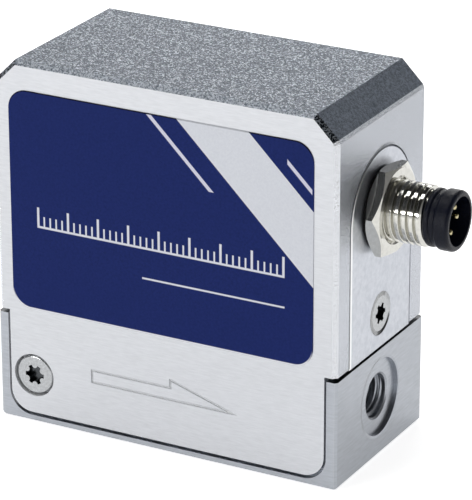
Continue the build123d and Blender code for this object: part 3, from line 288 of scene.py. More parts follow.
def wire_along_coil(rows, columns):
    """Point = C + w (cos b N + sin b B). C = (R cos a, R sin a, z) with z the height that the
    turns have climbed, N points out from the axis, and B is square to N and to the wire."""
    turns = np.linspace(0, SPRING_TURNS, rows)
    climb = spring_height - 2 * WIRE_RADIUS
    z = np.interp(turns, [0, 1, SPRING_TURNS - 1, SPRING_TURNS],
                  [0, END_TURN_RISE, climb - END_TURN_RISE, climb])
    a = 2 * np.pi * turns
    slope = np.gradient(z, a)
    along = np.stack([-COIL_RADIUS * np.sin(a), COIL_RADIUS * np.cos(a), slope], axis=-1)
    along /= np.linalg.norm(along, axis=-1, keepdims=True)
    out = np.stack([np.cos(a), np.sin(a), 0 * a], axis=-1)
    across = np.cross(along, out)
    centre = COIL_RADIUS * out + np.stack([0 * a, 0 * a, z], axis=-1)
    b = np.linspace(0, 2 * np.pi, columns, endpoint=False)[None, :, None]
    return centre[:, None] + WIRE_RADIUS * (np.cos(b) * out[:, None] + np.sin(b) * across[:, None])


def open_ring_faces(rows, columns):
    """The ring's quads without the row that would join the last row to the first."""
    return ring_faces(rows, columns).reshape(rows, columns, 4)[:-1].reshape(-1, 4)


wire = wire_along_coil(337, 12)
rows, columns = wire.shape[:2]
axis_foot = np.array([(spring_low[0] + spring_high[0]) / 2, 0, spring_low[2] + WIRE_RADIUS])
spring_points = (wire.reshape(-1, 3) + axis_foot) * MM
wall = open_ring_faces(rows, columns)[:, ::-1]
caps = [list(range(columns - 1, -1, -1)), list(range((rows - 1) * columns, rows * columns))]
spring_mesh = bpy.data.meshes.new("coiled_spring")
spring_mesh.from_pydata(spring_points.tolist(), [], wall.tolist() + caps)
spring_mesh.shade_smooth()
coiled_spring = add_piece("coiled_spring", spring_mesh, "spring_steel")
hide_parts("return_spring")
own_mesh(coiled_spring)

# %% [markdown]
# ## Finishes
# Every finish is worked out from the place on the object in millimetres, so its grain has a real
# size and nothing has to be unwrapped. These small helpers keep the recipes short: one adds a
# node, one reads the place, one makes a grain, and a few turn values into soft-edged masks
# and join masks together.

# %% Helpers that add nodes
def new_finish(name):
    """An empty material with a Principled surface; returns the material and its node tree."""
    material = bpy.data.materials.new(name)
    material.use_nodes = True
    return material, material.node_tree


def add(tree, kind, inputs=(), **settings):
    """Adds a node; inputs maps a socket's name or number to a value or to another's output."""
    node = tree.nodes.new(kind)
    for key, value in settings.items():
        setattr(node, key, value)
    for key, value in dict(inputs).items():
        if isinstance(value, bpy.types.NodeSocket):
            tree.links.new(value, node.inputs[key])
        else:
            node.inputs[key].default_value = value
    return node


def connect(tree, **sockets):
    """Links or sets the Principled surface's sockets, by their names with _ for a space."""
    surface = tree.nodes["Principled BSDF"]
    for key, value in sockets.items():
        socket = surface.inputs[key.replace("_", " ")]
        if isinstance(value, bpy.types.NodeSocket):
            tree.links.new(value, socket)
        elif isinstance(value, tuple):
            socket.default_value = (*value, 1)
        else:
            socket.default_value = value


def colour(hex_code):
    """Linear colour for a screen colour in six hex digits: c / 12.92, or above 0.04045
    ((c + 0.055) / 1.055) ^ 2.4."""
    screen = [int(hex_code[i:i + 2], 16) / 255 for i in (0, 2, 4)]
    return tuple(c / 12.92 if c <= 0.04045 else ((c + 0.055) / 1.055) ** 2.4 for c in screen)


# %% Helpers that work values out
def math_node(tree, operation, *values, clamp=False):
    """One Math node; returns its output."""
    inputs = enumerate(values)
    return add(tree, "ShaderNodeMath", inputs, operation=operation, use_clamp=clamp).outputs[0]


def both(tree, a, b):
    """1 where both masks are 1."""
    return math_node(tree, "MULTIPLY", a, b)


def either(tree, a, b):
    """1 where one of the masks is 1."""
    return math_node(tree, "MAXIMUM", a, b)


def less(tree, a, b):
    return math_node(tree, "SUBTRACT", a, b)


def size(tree, value):
    """The value without its sign."""
    return math_node(tree, "ABSOLUTE", value)


def squares(tree, a, b):
    """a^2 + b^2, the square of a distance."""
    return math_node(tree, "MULTIPLY_ADD", a, a, math_node(tree, "MULTIPLY", b, b))


def between(tree, value, low, high, out_low=0.0, out_high=1.0):
    """Value from low..high turned into out_low..out_high, and held there outside."""
    inputs = {0: value, 1: low, 2: high, 3: out_low, 4: out_high}
    return add(tree, "ShaderNodeMapRange", inputs, clamp=True).outputs[0]


def below(tree, value, limit, soft=0.1):
    """1 under the limit and 0 from soft above it."""
    return between(tree, value, limit, limit + soft, 1.0, 0.0)


def strip(tree, value, low, high, soft=0.04):
    """1 between low and high, with soft edges."""
    rise = between(tree, value, low - soft, low + soft)
    fall = between(tree, value, high - soft, high + soft, 1.0, 0.0)
    return both(tree, rise, fall)


# %% Helpers that read the place and make grain and relief
def parts(tree, vector):
    """The x, y and z of a vector."""
    return add(tree, "ShaderNodeSeparateXYZ", {0: vector}).outputs


def place_mm(tree, stretch=(1, 1, 1)):
    """Place on the object in millimetres, each axis times its stretch."""
    coordinates = add(tree, "ShaderNodeTexCoord").outputs["Object"]
    scale = tuple(s / MM for s in stretch)
    return add(tree, "ShaderNodeMapping", {"Vector": coordinates, "Scale": scale}).outputs[0]


def facing(tree):
    """The x, y and z of the direction that the face looks in."""
    return parts(tree, add(tree, "ShaderNodeNewGeometry").outputs["True Normal"])


def grain(tree, per_mm, stretch=(1, 1, 1), detail=3.0, roughness=0.6):
    """Soft noise with that many lumps to a millimetre; returns a value around 0.5."""
    inputs = {"Vector": place_mm(tree, stretch), "Scale": per_mm, "Detail": detail,
              "Roughness": roughness}
    return add(tree, "ShaderNodeTexNoise", inputs).outputs[0]


def mixed(tree, factor, colour_a, colour_b):
    """Colour a where factor is 0 and colour b where it is 1."""
    node = add(tree, "ShaderNodeMix", {0: factor}, data_type="RGBA")
    for socket, value in ((node.inputs[6], colour_a), (node.inputs[7], colour_b)):
        if isinstance(value, bpy.types.NodeSocket):
            tree.links.new(value, socket)
        else:
            socket.default_value = (*value, 1)
    return node.outputs[2]


def shades(tree, value, low, high, dark, light):
    """Colour that goes from dark to light as the value goes from low to high."""
    return mixed(tree, between(tree, value, low, high), colour(dark), colour(light))


def bumped(tree, height, depth_mm, under=None):
    """Normal for a relief that many millimetres deep, on top of another one."""
    inputs = {"Height": height, "Distance": depth_mm * MM, "Strength": 1.0}
    if under is not None:
        inputs["Normal"] = under
    return add(tree, "ShaderNodeBump", inputs).outputs[0]


def from_line(tree, place, start, end):
    """Distance from the place p to the line from a to b: |p - a - t (b - a)|, where t is
    (p - a) . (b - a) / |b - a| ^ 2 held between 0 and 1."""
    along = np.subtract(end, start)
    per_length = tuple(along / (along @ along))
    kind = "ShaderNodeVectorMath"
    offset = add(tree, kind, {0: place, 1: start}, operation="SUBTRACT").outputs[0]
    share = add(tree, kind, {0: offset, 1: per_length}, operation="DOT_PRODUCT").outputs["Value"]
    share = math_node(tree, "ADD", share, 0.0, clamp=True)
    foot = add(tree, kind, {0: tuple(along), "Scale": share}, operation="SCALE").outputs[0]
    return add(tree, kind, {0: offset, 1: foot}, operation="DISTANCE").outputs["Value"]


# %% [markdown]
# ## The cover's finish
# The cover is aluminium milled from a block and finished three ways before anodising. The front
# and back are brushed lengthways with a fine belt, the top and its edges are blasted with coarse
# grit that leaves sparkling pits, and the ends are blasted more finely. One material does all
# of it: the direction a face looks in decides which finish shows. The narrow bevels carry
# painted light: a painted highlight on the upright corner bevels and on the top's bevels, and
# near-black painted shade on the slopes' bevels. The end walls carry a painted shade that runs
# from lighter below to darker above.

# %% Finish the cover: masks and grains
LEANS, FACES = (0.42, 0.46), (0.9, 0.95)
MIDDLE = (0.3, 0.7)

cover_metal, tree = new_finish("blasted_and_brushed_cover")
look = facing(tree)
looks_up = between(tree, look[2], *LEANS)
is_front = between(tree, size(tree, look[1]), *FACES)
is_edge = between(tree, size(tree, look[1]), *LEANS)
is_slope = both(tree, looks_up, between(tree, size(tree, look[0]), *LEANS))
is_end = less(tree, 1.0, either(tree, looks_up, is_front))
x_mm, y_mm, z_mm = parts(tree, place_mm(tree))

brushing = grain(tree, 1.0, (0.6, 4.5, 4.5), 4.0, 0.65)
fine_grit = grain(tree, 3.4, detail=3.0, roughness=0.8)
coarse_grit = grain(tree, 4.6, detail=2.0, roughness=0.7)
pits = add(tree, "ShaderNodeTexVoronoi", {"Vector": place_mm(tree), "Scale": 6.0}).outputs
pit_shade = parts(tree, pits["Color"])[0]
grit_share = math_node(tree, "MULTIPLY", coarse_grit, 0.3)
pit_shade = math_node(tree, "MULTIPLY_ADD", pit_shade, 0.7, grit_share)

# %% Finish the cover: colours of its faces
END_SHADE_Z, PIT_SPAN = (24.0, 42.0), (0.15, 0.75)

brushed = shades(tree, brushing, *MIDDLE, "CACCD0", "D5D7DB")
# Painted shade: the end walls are painted lighter below and darker above.
end_colour_lit = shades(tree, fine_grit, *MIDDLE, "C1C5CD", "D9DCE3")
end_colour_shaded = shades(tree, fine_grit, *MIDDLE, "B2B6BE", "CACED5")
end_colour = mixed(tree, between(tree, z_mm, *END_SHADE_Z), end_colour_lit, end_colour_shaded)
# Painted highlight: the upright corner bevels are painted brightest.
corner_highlight = shades(tree, fine_grit, *MIDDLE, "E2E4E9", "ECEEF2")

top_colour = shades(tree, pit_shade, *PIT_SPAN, "363E47", "79818C")
top_colour = mixed(tree, between(tree, pit_shade, 0.66, 0.80), top_colour, colour("CED4DC"))
# Painted highlight: the top's bevels are painted lighter than the top.
top_edge_highlight = shades(tree, pit_shade, *PIT_SPAN, "6A737E", "D2D8E0")
slope_colour = shades(tree, pit_shade, 0.2, 0.75, "96A1B2", "CED8E7")
# Painted shade: the slopes' bevels are painted near black, with pale sparks.
slope_edge_shade = shades(tree, pit_shade, 0.45, 0.75, "1E242C", "C8D0DA")
slope_colour = mixed(tree, is_edge, slope_colour, slope_edge_shade)

# %% [markdown]
# Two details are too fine for their shape alone to show. Beside the slot that holds the arched
# plate, on its front side, a painted shade draws a dark line down the end face. And the engraved
# arrow is cut through the anodising: its groove is bare and pale, and the cutter raised a thin
# grey burr on both sides. Its outline is half an arrow that points the way the gas goes. The
# screws' counterbores get a still paler painted light, so that their walls don't look black.
# The groove is told from the face by its depth, and its box has no end towards the back: a
# strip of the rear face behind the arrow therefore takes the groove's finish too. That is a
# flaw that shows faintly, and ending the box at y = 0 would mend it.

# %% Finish the cover: seam, arrow and counterbores
ARCH_CENTRE_Z = 34.0
SEAM_DARK, SEAM_GONE = 8.9, 9.15
SEAM_FOOT, SEAM_TOP = (plate_high[0], 0.0, 0.0), (plate_high[0], 0.0, ARCH_CENTRE_Z)
COUNTERBORE_SQUARE = 9.2
ARROW_TAIL, ARROW_NECK, ARROW_TIP = -10.87, 0.94, 10.03
ARROW_LOW, ARROW_SHAFT, ARROW_BARB = 7.61, 9.29, 10.40
ARROW_BOX_X, ARROW_BOX_LOW, ARROW_BOX_HIGH = 11.2, 7.2, 10.8


def arrow_outline():
    """Corners of the groove's centre line, in order."""
    corners = [(ARROW_TAIL, ARROW_LOW), (ARROW_TIP, ARROW_LOW), (ARROW_NECK, ARROW_BARB),
               (ARROW_NECK, ARROW_SHAFT), (ARROW_TAIL, ARROW_SHAFT)]
    return [(x, 0.0, z) for x, z in corners]


def from_screw_axis(tree, x_mm, z_mm):
    """Square of the distance from the nearer cover screw's axis."""
    across = less(tree, size(tree, x_mm), COVER_SCREW_X)
    return squares(tree, across, less(tree, z_mm, COVER_SCREW_Z))


from_axis = from_line(tree, place_mm(tree), SEAM_FOOT, SEAM_TOP)
# Painted shade: a dark line down the end face beside the plate's slot, on its front side.
painted_seam_shade = both(tree, between(tree, from_axis, SEAM_DARK, SEAM_GONE, 0.75, 0.0),
            below(tree, y_mm, 0.0, 4.0))
end_colour = mixed(tree, painted_seam_shade, end_colour, colour("2E343C"))

flat_place = add(tree, "ShaderNodeCombineXYZ", {0: x_mm, 2: z_mm}).outputs[0]
outline = arrow_outline()
from_arrow = from_line(tree, flat_place, outline[-1], outline[0])
for start, end in zip(outline[:-1], outline[1:]):
    from_arrow = math_node(tree, "MINIMUM", from_arrow, from_line(tree, flat_place, start, end))
burr = both(tree, between(tree, from_arrow, 0.12, 0.26, 0.5, 0.0),
            below(tree, y_mm, FRONT_Y + 0.2))
near_arrow = both(tree, between(tree, z_mm, ARROW_BOX_LOW, ARROW_BOX_LOW + 0.05),
                  below(tree, z_mm, ARROW_BOX_HIGH, 0.05))
near_arrow = both(tree, near_arrow, below(tree, size(tree, x_mm), ARROW_BOX_X))
in_groove = both(tree, between(tree, y_mm, FRONT_Y + 0.01, FRONT_Y + 0.02), near_arrow)
near_screw = below(tree, from_screw_axis(tree, x_mm, z_mm), COUNTERBORE_SQUARE)
# Painted light: the counterbores' walls are painted pale and made partly less metallic.
counterbore_painted_light = both(tree, near_screw, less(tree, 1.0, is_front))

# %% [markdown]
# The layers go on from the widest to the narrowest. The groove is less metallic than the rest, so
# that it shows its own pale shade in place of a dark mirror, and the counterbores are partly less
# metallic, so that their painted light shows in place of a dark mirror.

# %% Finish the cover: put the layers together
shade = mixed(tree, is_edge, end_colour, corner_highlight)
shade = mixed(tree, is_front, shade, brushed)
shade = mixed(tree, looks_up, shade, mixed(tree, is_edge, top_colour, top_edge_highlight))
shade = mixed(tree, is_slope, shade, slope_colour)
shade = mixed(tree, burr, shade, colour("8E9297"))
shade = mixed(tree, in_groove, shade, colour("E2E4E6"))
shade = mixed(tree, counterbore_painted_light, shade, colour("F4F5F7"))
not_metal = either(tree, in_groove, math_node(tree, "MULTIPLY", counterbore_painted_light, 0.6))

on_slope = math_node(tree, "MULTIPLY_ADD", is_slope, -0.7, 1.0)
relief = bumped(tree, both(tree, both(tree, coarse_grit, looks_up), on_slope), 0.09)
relief = bumped(tree, both(tree, fine_grit, is_end), 0.10, under=relief)
relief = bumped(tree, both(tree, pit_shade, is_end), 0.05, under=relief)
relief = bumped(tree, both(tree, brushing, is_front), 0.012, under=relief)
rough = between(tree, looks_up, 0.0, 1.0, 0.34, 0.42)
rough = math_node(tree, "MULTIPLY_ADD", is_end, -0.08, rough)
connect(tree, Base_Color=shade, Metallic=less(tree, 1.0, not_metal), Roughness=rough,
        Normal=relief)
print("cover:", len(tree.nodes), "nodes")

# %% [markdown]
# ## The other metals
# The base and the arched plate are milled and lightly blasted, the screws are stainless steel,
# and the plug's shell and nut are bright nickel. Milling leaves faint parallel lines. One recipe
# serves them all; what only one of them has is laid over it afterwards.

# %% A recipe for metals
def metal(name, dark, light, stretch, rough, lines_mm, grit_mm):
    """Metal with streaks of two shades, milling lines that deep and a fine grit that deep."""
    material, tree = new_finish(name)
    lines = grain(tree, 1.0, stretch, 4.0, 0.6)
    grit = grain(tree, 5.0, detail=2.0)
    normal = bumped(tree, grit, grit_mm, under=bumped(tree, lines, lines_mm))
    connect(tree, Base_Color=shades(tree, lines, *MIDDLE, dark, light), Metallic=1.0,
            Roughness=rough, Normal=normal)
    return material


def linked(tree, name):
    """The output that now feeds one of the Principled surface's sockets."""
    return tree.nodes["Principled BSDF"].inputs[name].links[0].from_socket


def repaint(tree, mask, hex_code):
    """Lays another colour over a finish where the mask is 1."""
    connect(tree, Base_Color=mixed(tree, mask, linked(tree, "Base Color"), colour(hex_code)))


def slope_ring(tree, axis_z, inner, outer, depth_mm):
    """Slopes the finish between two radii round an axis along X, as a broken edge does."""
    _, y, z = parts(tree, place_mm(tree))
    radius = math_node(tree, "SQRT", squares(tree, y, less(tree, z, axis_z)))
    slope = between(tree, radius, inner, outer)
    connect(tree, Normal=bumped(tree, slope, depth_mm, under=linked(tree, "Normal")))


# %% [markdown]
# The base's top shows only as a narrow rim beside the cover's tongue, painted dark as painted
# shade under the cover's edge. The side walls of the recess round the tongue are painted pale and
# less metallic, a painted light in the narrow gap. The edge round each port's sunk face is broken
# by a file or by wear: too slight to model, so a relief slopes it.

# %% Finish the base
SPOTFACE_EDGE = (5.25, 5.6, 0.12)
NOTCH_Z, RECESS_X, RECESS_Y = 14.0, 24.7, 9.0
WALL_METAL = 0.3

base_metal = metal("milled_base", "A9ADB3", "B8BCC3", (0.4, 0.4, 4.0), 0.32, 0.004, 0.006)
tree = base_metal.node_tree
slope_ring(tree, PORT_Z, *SPOTFACE_EDGE)
look = facing(tree)
x_mm, y_mm, z_mm = parts(tree, place_mm(tree))
painted_notch_shade = between(tree, z_mm, NOTCH_Z, NOTCH_Z + 0.1)
# Painted shade: faces looking up above the notch height are painted dark.
repaint(tree, both(tree, painted_notch_shade, between(tree, look[2], 0.6, 0.7)), "2C2E31")
# Painted light: the recess's side walls are painted pale and made less metallic.
painted_wall_light = both(tree, between(tree, size(tree, look[0]), 0.6, 0.8),
                 below(tree, size(tree, x_mm), RECESS_X))
painted_wall_light = both(tree, painted_wall_light, between(tree, size(tree, y_mm), RECESS_Y, RECESS_Y + 0.5))
repaint(tree, painted_wall_light, "F4F5F7")
connect(tree, Metallic=between(tree, painted_wall_light, 0.0, 1.0, 1.0, WALL_METAL))
print("base:", len(tree.nodes), "nodes")

# %% [markdown]
# The plate's front rim carries a painted highlight, a bright line beside the dark seam. The
# six-lobed sockets lie deep in the screws' heads and carry painted shade, and the countersunk
# screw has a rim that slopes back from its face.

# %% Finish the plate and the screws
BRIGHT_RIM, RIM_BACK_Y = 0.36, -6.0
SIDE_SCREW_RIM = (2.35, 2.9, 0.6)
SOCKET_SQUARE, SOCKET_START, SOCKET_SOFT = 2.1, 0.12, 0.06

plate_metal = metal("blasted_plate", "BFC3CB", "D2D5DC", (1.5, 1.5, 1.5), 0.34, 0.004, 0.03)
tree = plate_metal.node_tree
from_axis = from_line(tree, place_mm(tree), SEAM_FOOT, SEAM_TOP)
rim_start = plate_high[1] - BRIGHT_RIM
painted_rim_glint = between(tree, from_axis, rim_start, rim_start + 0.05)
in_front = below(tree, parts(tree, place_mm(tree))[1], RIM_BACK_Y, 2.0)
# Painted highlight: a bright line along the plate's front rim.
repaint(tree, both(tree, painted_rim_glint, in_front), "FAFBFC")

screw_steel = metal("screw_steel", "A9ABAD", "C4C6C8", (3.0, 3.0, 3.0), 0.20, 0.003, 0.001)
tree = screw_steel.node_tree
slope_ring(tree, SIDE_SCREW_Z, *SIDE_SCREW_RIM)
x_mm, y_mm, z_mm = parts(tree, place_mm(tree))
front_sunk = below(tree, size(tree, y_mm), -heads_low[1] - SOCKET_START, SOCKET_SOFT)
side_sunk = below(tree, x_mm, side_head_high[0] - SOCKET_START, SOCKET_SOFT)
front_socket_shade = both(tree, front_sunk,
                    below(tree, from_screw_axis(tree, x_mm, z_mm), SOCKET_SQUARE, 0.2))
from_side_axis = squares(tree, y_mm, less(tree, z_mm, SIDE_SCREW_Z))
side_socket_shade = both(tree, side_sunk, below(tree, from_side_axis, SOCKET_SQUARE, 0.2))
# Painted shade: the sockets in the screws' heads are painted darker.
repaint(tree, either(tree, front_socket_shade, side_socket_shade), "4C4E51")
print("screws:", len(tree.nodes), "nodes")

# %% [markdown]
# The rest of the metals need nothing but the recipe: nickel and gold on the plug, and inside
# the cover turned steel, spring wire, the sensor's block, copper wire and the capacitors' cans.

# %% Finish the plug's metals and the hidden ones
connector_nickel = metal("bright_nickel", "CFCEC8", "DDDCD6", (2.0, 2.0, 2.0), 0.10, 0.0004, 0.0)
contact_gold = metal("gold_contacts", "B4A878", "D6CEAE", (3.0, 3.0, 3.0), 0.14, 0.0005, 0.0)
inner_steel = metal("turned_steel", "8E9296", "B0B4B8", (4.0, 4.0, 0.6), 0.30, 0.004, 0.002)
sensor_metal = metal("sensor_block", "B7BBC0", "CCD0D4", (0.4, 5.0, 5.0), 0.35, 0.004, 0.004)
spring_steel = metal("spring_wire", "9A9C9E", "C2C4C6", (5.0, 5.0, 5.0), 0.25, 0.001, 0.0)
winding_copper = metal("copper_turns", "9C4A22", "D07A42", (0.1, 0.1, 7.0), 0.32, 0.02, 0.0)
capacitor_can = metal("capacitor_can", "B5B7BA", "CBCDD0", (2.0, 2.0, 2.0), 0.28, 0.002, 0.0)
print("metals: 10")

# %% [markdown]
# ## Plastics, rubber and boards
# The plug's insert is black plastic with a faint spark-eroded texture from its mould; the rest
# of these are inside the closed cover.

# %% Finish the plastics
def moulded(name, dark, light, rough, grit_per_mm, grit_mm):
    """Plastic in two close shades, with a grit of its own size and depth."""
    material, tree = new_finish(name)
    grit = grain(tree, grit_per_mm, detail=3.0)
    connect(tree, Base_Color=shades(tree, grit, 0.35, 0.65, dark, light), Roughness=rough,
            Normal=bumped(tree, grit, grit_mm), Specular_IOR_Level=0.18)
    return material


plug_plastic = moulded("black_plug_plastic", "060914", "101424", 0.28, 6.0, 0.07)
seal_rubber = moulded("seal_rubber", "101010", "1C1C1C", 0.6, 4.0, 0.01)
bobbin_plastic = moulded("bobbin_plastic", "22272B", "2E3438", 0.45, 4.0, 0.01)
chip_black = moulded("chip_black", "151617", "222325", 0.5, 6.0, 0.008)
flex_amber = moulded("amber_ribbon", "8A4A10", "A8611C", 0.3, 2.0, 0.002)
board_green = moulded("green_board", "0B4A2C", "0F5C38", 0.35, 1.5, 0.004)
print("plastics: 6")

# %% [markdown]
# ## The printed label
# A thin plastic sheet is stuck to the front. It is dark blue with a pale band and two fine
# stripes that cross it at about 45 degrees, so one number decides where each of them lies: the
# distance along x plus the height. Below them a plain graduated scale fills the middle.

# %% The label's print
SLANT = 0.985
BAND = (48.87, 59.06)
FIRST_STRIPE, FIRST_HEIGHTS = (44.45, 45.15), (37.7, 50.0)
SECOND_STRIPE, SECOND_SPAN = (61.1, 61.8), (18.0, 21.5)
SCALE_START, SCALE_END, TICK_FOOT = -18.5, 17.5, 28.3
SMALL_TICK = {"pitch": 0.9, "width": 0.24, "top": 29.7}
TALL_TICK = {"pitch": 4.5, "width": 0.34, "top": 30.9}
INK_SOFT = 0.03
SCALE_LINE = ((-18.67, 17.67), (28.05, 28.35))
LOWER_LINE = ((-3.0, 17.67), (23.9, 24.15))

label_print, tree = new_finish("printed_label")
where = parts(tree, place_mm(tree))
slant = math_node(tree, "MULTIPLY_ADD", where[0], SLANT, where[2])


def ticks(tree, pitch, width, top):
    """Upright marks every pitch along the scale: 1 within half the width of the nearest mark."""
    steps = math_node(tree, "DIVIDE", less(tree, where[0], SCALE_START), pitch)
    off = size(tree, less(tree, steps, math_node(tree, "ROUND", steps)))
    inner, outer = (width / 2 - INK_SOFT) / pitch, (width / 2 + INK_SOFT) / pitch
    mark = between(tree, off, inner, outer, 1.0, 0.0)
    across = strip(tree, where[0], SCALE_START - width, SCALE_END + width)
    return both(tree, both(tree, mark, across), strip(tree, where[2], TICK_FOOT, top))


def bar(tree, span, heights):
    """Filled rectangle."""
    return both(tree, strip(tree, where[0], *span), strip(tree, where[2], *heights))


band = strip(tree, slant, *BAND)
stripes = either(tree, both(tree, strip(tree, slant, *FIRST_STRIPE),
                            strip(tree, where[2], *FIRST_HEIGHTS)),
                 both(tree, strip(tree, slant, *SECOND_STRIPE),
                      strip(tree, where[0], *SECOND_SPAN)))
marks = either(tree, ticks(tree, **SMALL_TICK), ticks(tree, **TALL_TICK))
marks = either(tree, marks, either(tree, bar(tree, *SCALE_LINE), bar(tree, *LOWER_LINE)))

# %% [markdown]
# The sheet's cut edge carries a fine painted line: painted shade along the top and a painted
# highlight along the bottom, as light from the floor would leave them. The line follows a
# rectangle with round corners, which is all the places whose distance from the nearest corner's
# centre, counted only outward, equals the corner's radius.

# %% The label's edge and its colours
SHEET_CORNER = 2.7
RIM_START, RIM_FULL = 0.18, 0.10
RIM_SPREAD = (0.8, 2.5)
sheet_low, sheet_high = box_mm("label")
sheet_middle, sheet_half = (sheet_low + sheet_high) / 2, (sheet_high - sheet_low) / 2


def past_corner(tree, axis):
    """How far the place lies beyond the corner's centre along x (0) or z (2), never under 0."""
    off_middle = size(tree, less(tree, where[axis], sheet_middle[axis]))
    beyond = less(tree, off_middle, sheet_half[axis] - SHEET_CORNER)
    return math_node(tree, "MAXIMUM", beyond, 0.0)


out_radius = squares(tree, past_corner(tree, 0), past_corner(tree, 2))
out_radius = math_node(tree, "SQRT", out_radius)
rim = between(tree, out_radius, SHEET_CORNER - RIM_START, SHEET_CORNER - RIM_FULL)
near, far = RIM_SPREAD
# Painted shade along the sheet's top edge.
painted_top_shade = both(tree, rim, between(tree, where[2], sheet_high[2] - far, sheet_high[2] - near))
painted_top_shade = both(tree, painted_top_shade, between(tree, band, 0.0, 1.0, 1.0, 0.35))
# Painted highlight along the sheet's bottom edge.
painted_bottom_highlight = both(tree, rim, between(tree, where[2], sheet_low[2] + near, sheet_low[2] + far,
                                    1.0, 0.0))

ink_grain = grain(tree, 3.0, detail=3.0)
navy = shades(tree, ink_grain, *MIDDLE, "17265F", "1D2C6C")
pale = shades(tree, ink_grain, *MIDDLE, "E1E4EC", "E8EBF2")
print_colour = mixed(tree, band, navy, pale)
for mask, hex_code in ((stripes, "DDDDEE"), (marks, "E6E8F2"), (painted_top_shade, "080B22"),
                       (painted_bottom_highlight, "E9EAF2")):
    print_colour = mixed(tree, mask, print_colour, colour(hex_code))
connect(tree, Base_Color=print_colour, Roughness=0.42, Normal=bumped(tree, ink_grain, 0.004),
        Specular_IOR_Level=0.08)
print("label:", len(tree.nodes), "nodes")

# %% [markdown]
# Each machined part names the slot of the finish it wants, and each computed piece was given
# one when it was made, so one table serves both.

# %% Put the finishes on
finishes = {
    "cover_metal": cover_metal, "base_metal": base_metal, "plate_metal": plate_metal,
    "label_print": label_print, "screw_steel": screw_steel,
    "connector_nickel": connector_nickel, "plug_plastic": plug_plastic,
    "contact_gold": contact_gold, "seal_rubber": seal_rubber, "inner_steel": inner_steel,
    "spring_steel": spring_steel, "bobbin_plastic": bobbin_plastic,
    "winding_copper": winding_copper, "board_green": board_green, "chip_black": chip_black,
    "capacitor_can": capacitor_can, "flex_amber": flex_amber, "sensor_metal": sensor_metal,
}
slot_of = {part["node"]: part["material_slot"] for part in frame["record"]["subparts"]}
for node_name, node in frame["nodes"].items():
    for place in node.material_slots:
        place.material = finishes[slot_of[node_name]]
for piece in bpy.context.scene.objects:
    if piece.type == "MESH" and "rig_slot" in piece:
        piece.data.materials.append(finishes[piece["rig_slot"]])
print("finishes:", len(finishes))

# %% [markdown]
# ## The room
# A white floor fills the view and is what the upright faces mirror. Above it stands a dark
# tent that only reflections see: polished metal in an all-white room looks like white
# plastic, and the tent gives it the dark parts. Four soft lamps hang inside the tent.

# %% Floor and world
ROOM_LIGHT = 0.40
FLOOR_Z, FLOOR_HALF = -0.0001, 4.0
CAMERA_LIFT, MIRROR_LIFT = 0.24, 0.42


def seen_directly(tree):
    """1 for rays from the camera, mirrors and glass, and 0 for the rest."""
    ray = add(tree, "ShaderNodeLightPath").outputs
    seen = either(tree, ray["Is Camera Ray"], ray["Is Glossy Ray"])
    return either(tree, seen, ray["Is Transmission Ray"])


def stage_piece(name, points_m, faces, paint):
    """Piece of the room, which isn't part of the object."""
    mesh = bpy.data.meshes.new(name)
    mesh.from_pydata(np.asarray(points_m, float).tolist(), [], np.asarray(faces).tolist())
    mesh.materials.append(paint)
    piece = bpy.data.objects.new(name, mesh)
    bpy.context.scene.collection.objects.link(piece)
    return piece


world = bpy.data.worlds.new("white_room")
bpy.context.scene.world = world
world.use_nodes = True
tree = world.node_tree
backdrop = tree.nodes["Background"]
backdrop.inputs["Color"].default_value = (1, 1, 1, 1)
room_strength = between(tree, seen_directly(tree), 0.0, 1.0, ROOM_LIGHT, 1.0)
tree.links.new(room_strength, backdrop.inputs["Strength"])

floor_paint, tree = new_finish("floor_paint")
camera_only = add(tree, "ShaderNodeLightPath").outputs["Is Camera Ray"]
mirror_lift = math_node(tree, "MULTIPLY", seen_directly(tree), MIRROR_LIFT)
lift = math_node(tree, "MULTIPLY_ADD", camera_only, CAMERA_LIFT, mirror_lift)
connect(tree, Base_Color=(0.9, 0.9, 0.9), Roughness=0.9, Emission_Color=(1, 1, 1),
        Emission_Strength=lift)
floor_corners = [(x * FLOOR_HALF, y * FLOOR_HALF, FLOOR_Z)
                 for x, y in ((-1, -1), (1, -1), (1, 1), (-1, 1))]
stage_piece("floor", floor_corners, [(0, 1, 2, 3)], floor_paint)
print("floor", 2 * FLOOR_HALF, "m wide")

# %% [markdown]
# The tent is a dome with an open foot, so a strip of the white room shows all round below it.
# Its cloth glows a little near the foot and less towards the top and the left, so polished
# metal mirrors a slow change from grey to black in place of one flat tone.

# %% The dark tent
TENT_RADIUS, TENT_LOWEST, TENT_HIGHEST = 1.6, 6.0, 88.0


def dome(rows, columns):
    """Points (r cos e sin a, r cos e cos a, r sin e) for elevations e up from the tent's foot."""
    elevation = np.radians(np.linspace(TENT_LOWEST, TENT_HIGHEST, rows))[:, None]
    around = np.linspace(0, 2 * np.pi, columns, endpoint=False)[None, :]
    x = TENT_RADIUS * np.cos(elevation) * np.sin(around)
    y = TENT_RADIUS * np.cos(elevation) * np.cos(around)
    z = TENT_RADIUS * np.sin(elevation) + 0 * around
    return np.stack([x, y, z], axis=-1).reshape(-1, 3), open_ring_faces(rows, columns)


tent_cloth, tree = new_finish("tent_cloth")
across, _, height = parts(tree, add(tree, "ShaderNodeTexCoord").outputs["Object"])
right_side = between(tree, across, -0.75, 0.2, 0.2, 1.0)
glow = both(tree, between(tree, height, 0.15, 1.0, 0.34, 0.05), right_side)
connect(tree, Base_Color=(0, 0, 0), Roughness=1.0, Specular_IOR_Level=0.0,
        Emission_Color=(1, 1, 1), Emission_Strength=glow)
tent = stage_piece("dark_tent", *dome(12, 32), tent_cloth)
for ray_kind in ("visible_camera", "visible_diffuse", "visible_shadow", "visible_transmission"):
    setattr(tent, ray_kind, False)
print("tent", TENT_RADIUS, "m in radius")

# %% [markdown]
# Four soft rectangles light the object: from the front left, from the right, from above and
# from behind. The side lamp is hidden from mirrors, so it lights the end face and leaves no
# glint.

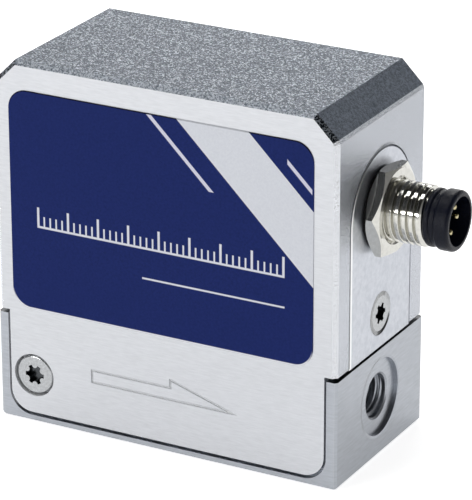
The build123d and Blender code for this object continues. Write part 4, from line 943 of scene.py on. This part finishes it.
# %% Lamps
LAMP_TARGET = Vector((0, 0, 0.02))


def soft_lamp(name, place, width, height, watts):
    """Rectangular lamp that looks at the object."""
    light = bpy.data.lights.new(name, "AREA")
    light.shape = "RECTANGLE"
    light.size = width
    light.size_y = height
    light.energy = watts
    lamp = bpy.data.objects.new(name, light)
    lamp.location = place
    lamp.rotation_euler = (LAMP_TARGET - Vector(place)).to_track_quat("-Z", "Y").to_euler()
    bpy.context.scene.collection.objects.link(lamp)
    return lamp


soft_lamp("front_lamp", (-0.42, -0.80, 0.28), 0.36, 0.12, 2.6)
side_lamp = soft_lamp("side_lamp", (0.66, 0.48, 0.15), 0.35, 0.20, 1.8)
side_lamp.visible_glossy = False
soft_lamp("top_lamp", (-0.36, 0.02, 0.80), 0.25, 0.40, 1.8)
soft_lamp("rim_lamp", (-0.42, 0.84, 0.42), 0.50, 0.25, 1.75)
print("lamps: 4")

# %% [markdown]
# ## The camera
# A long lens from 45 cm, a little above the object and to its right, keeps the upright edges
# nearly parallel.

# %% Camera
AZIMUTH, ELEVATION, ROLL = math.radians(28.50), math.radians(22.09), math.radians(-0.11)
DISTANCE = 0.4511
TARGET = Vector((0.0039, 0.0, 0.02472))
FOCAL_LENGTH, SENSOR_HEIGHT = 248.6, 36.0

lens = bpy.data.cameras.new("camera")
lens.sensor_fit = "VERTICAL"
lens.sensor_height = SENSOR_HEIGHT
lens.lens = FOCAL_LENGTH
lens.clip_start = 0.01
camera = bpy.data.objects.new("camera", lens)
level = math.cos(ELEVATION)
away = Vector((math.sin(AZIMUTH) * level, -math.cos(AZIMUTH) * level, math.sin(ELEVATION)))
turn = away.to_track_quat("Z", "Y").to_matrix().to_4x4() @ Matrix.Rotation(ROLL, 4, "Z")
camera.matrix_world = Matrix.Translation(TARGET + away * DISTANCE) @ turn
bpy.context.scene.collection.objects.link(camera)
bpy.context.scene.camera = camera
bpy.context.scene.view_settings.view_transform = "Standard"
print("camera at", tuple(round(c, 4) for c in camera.matrix_world.translation))
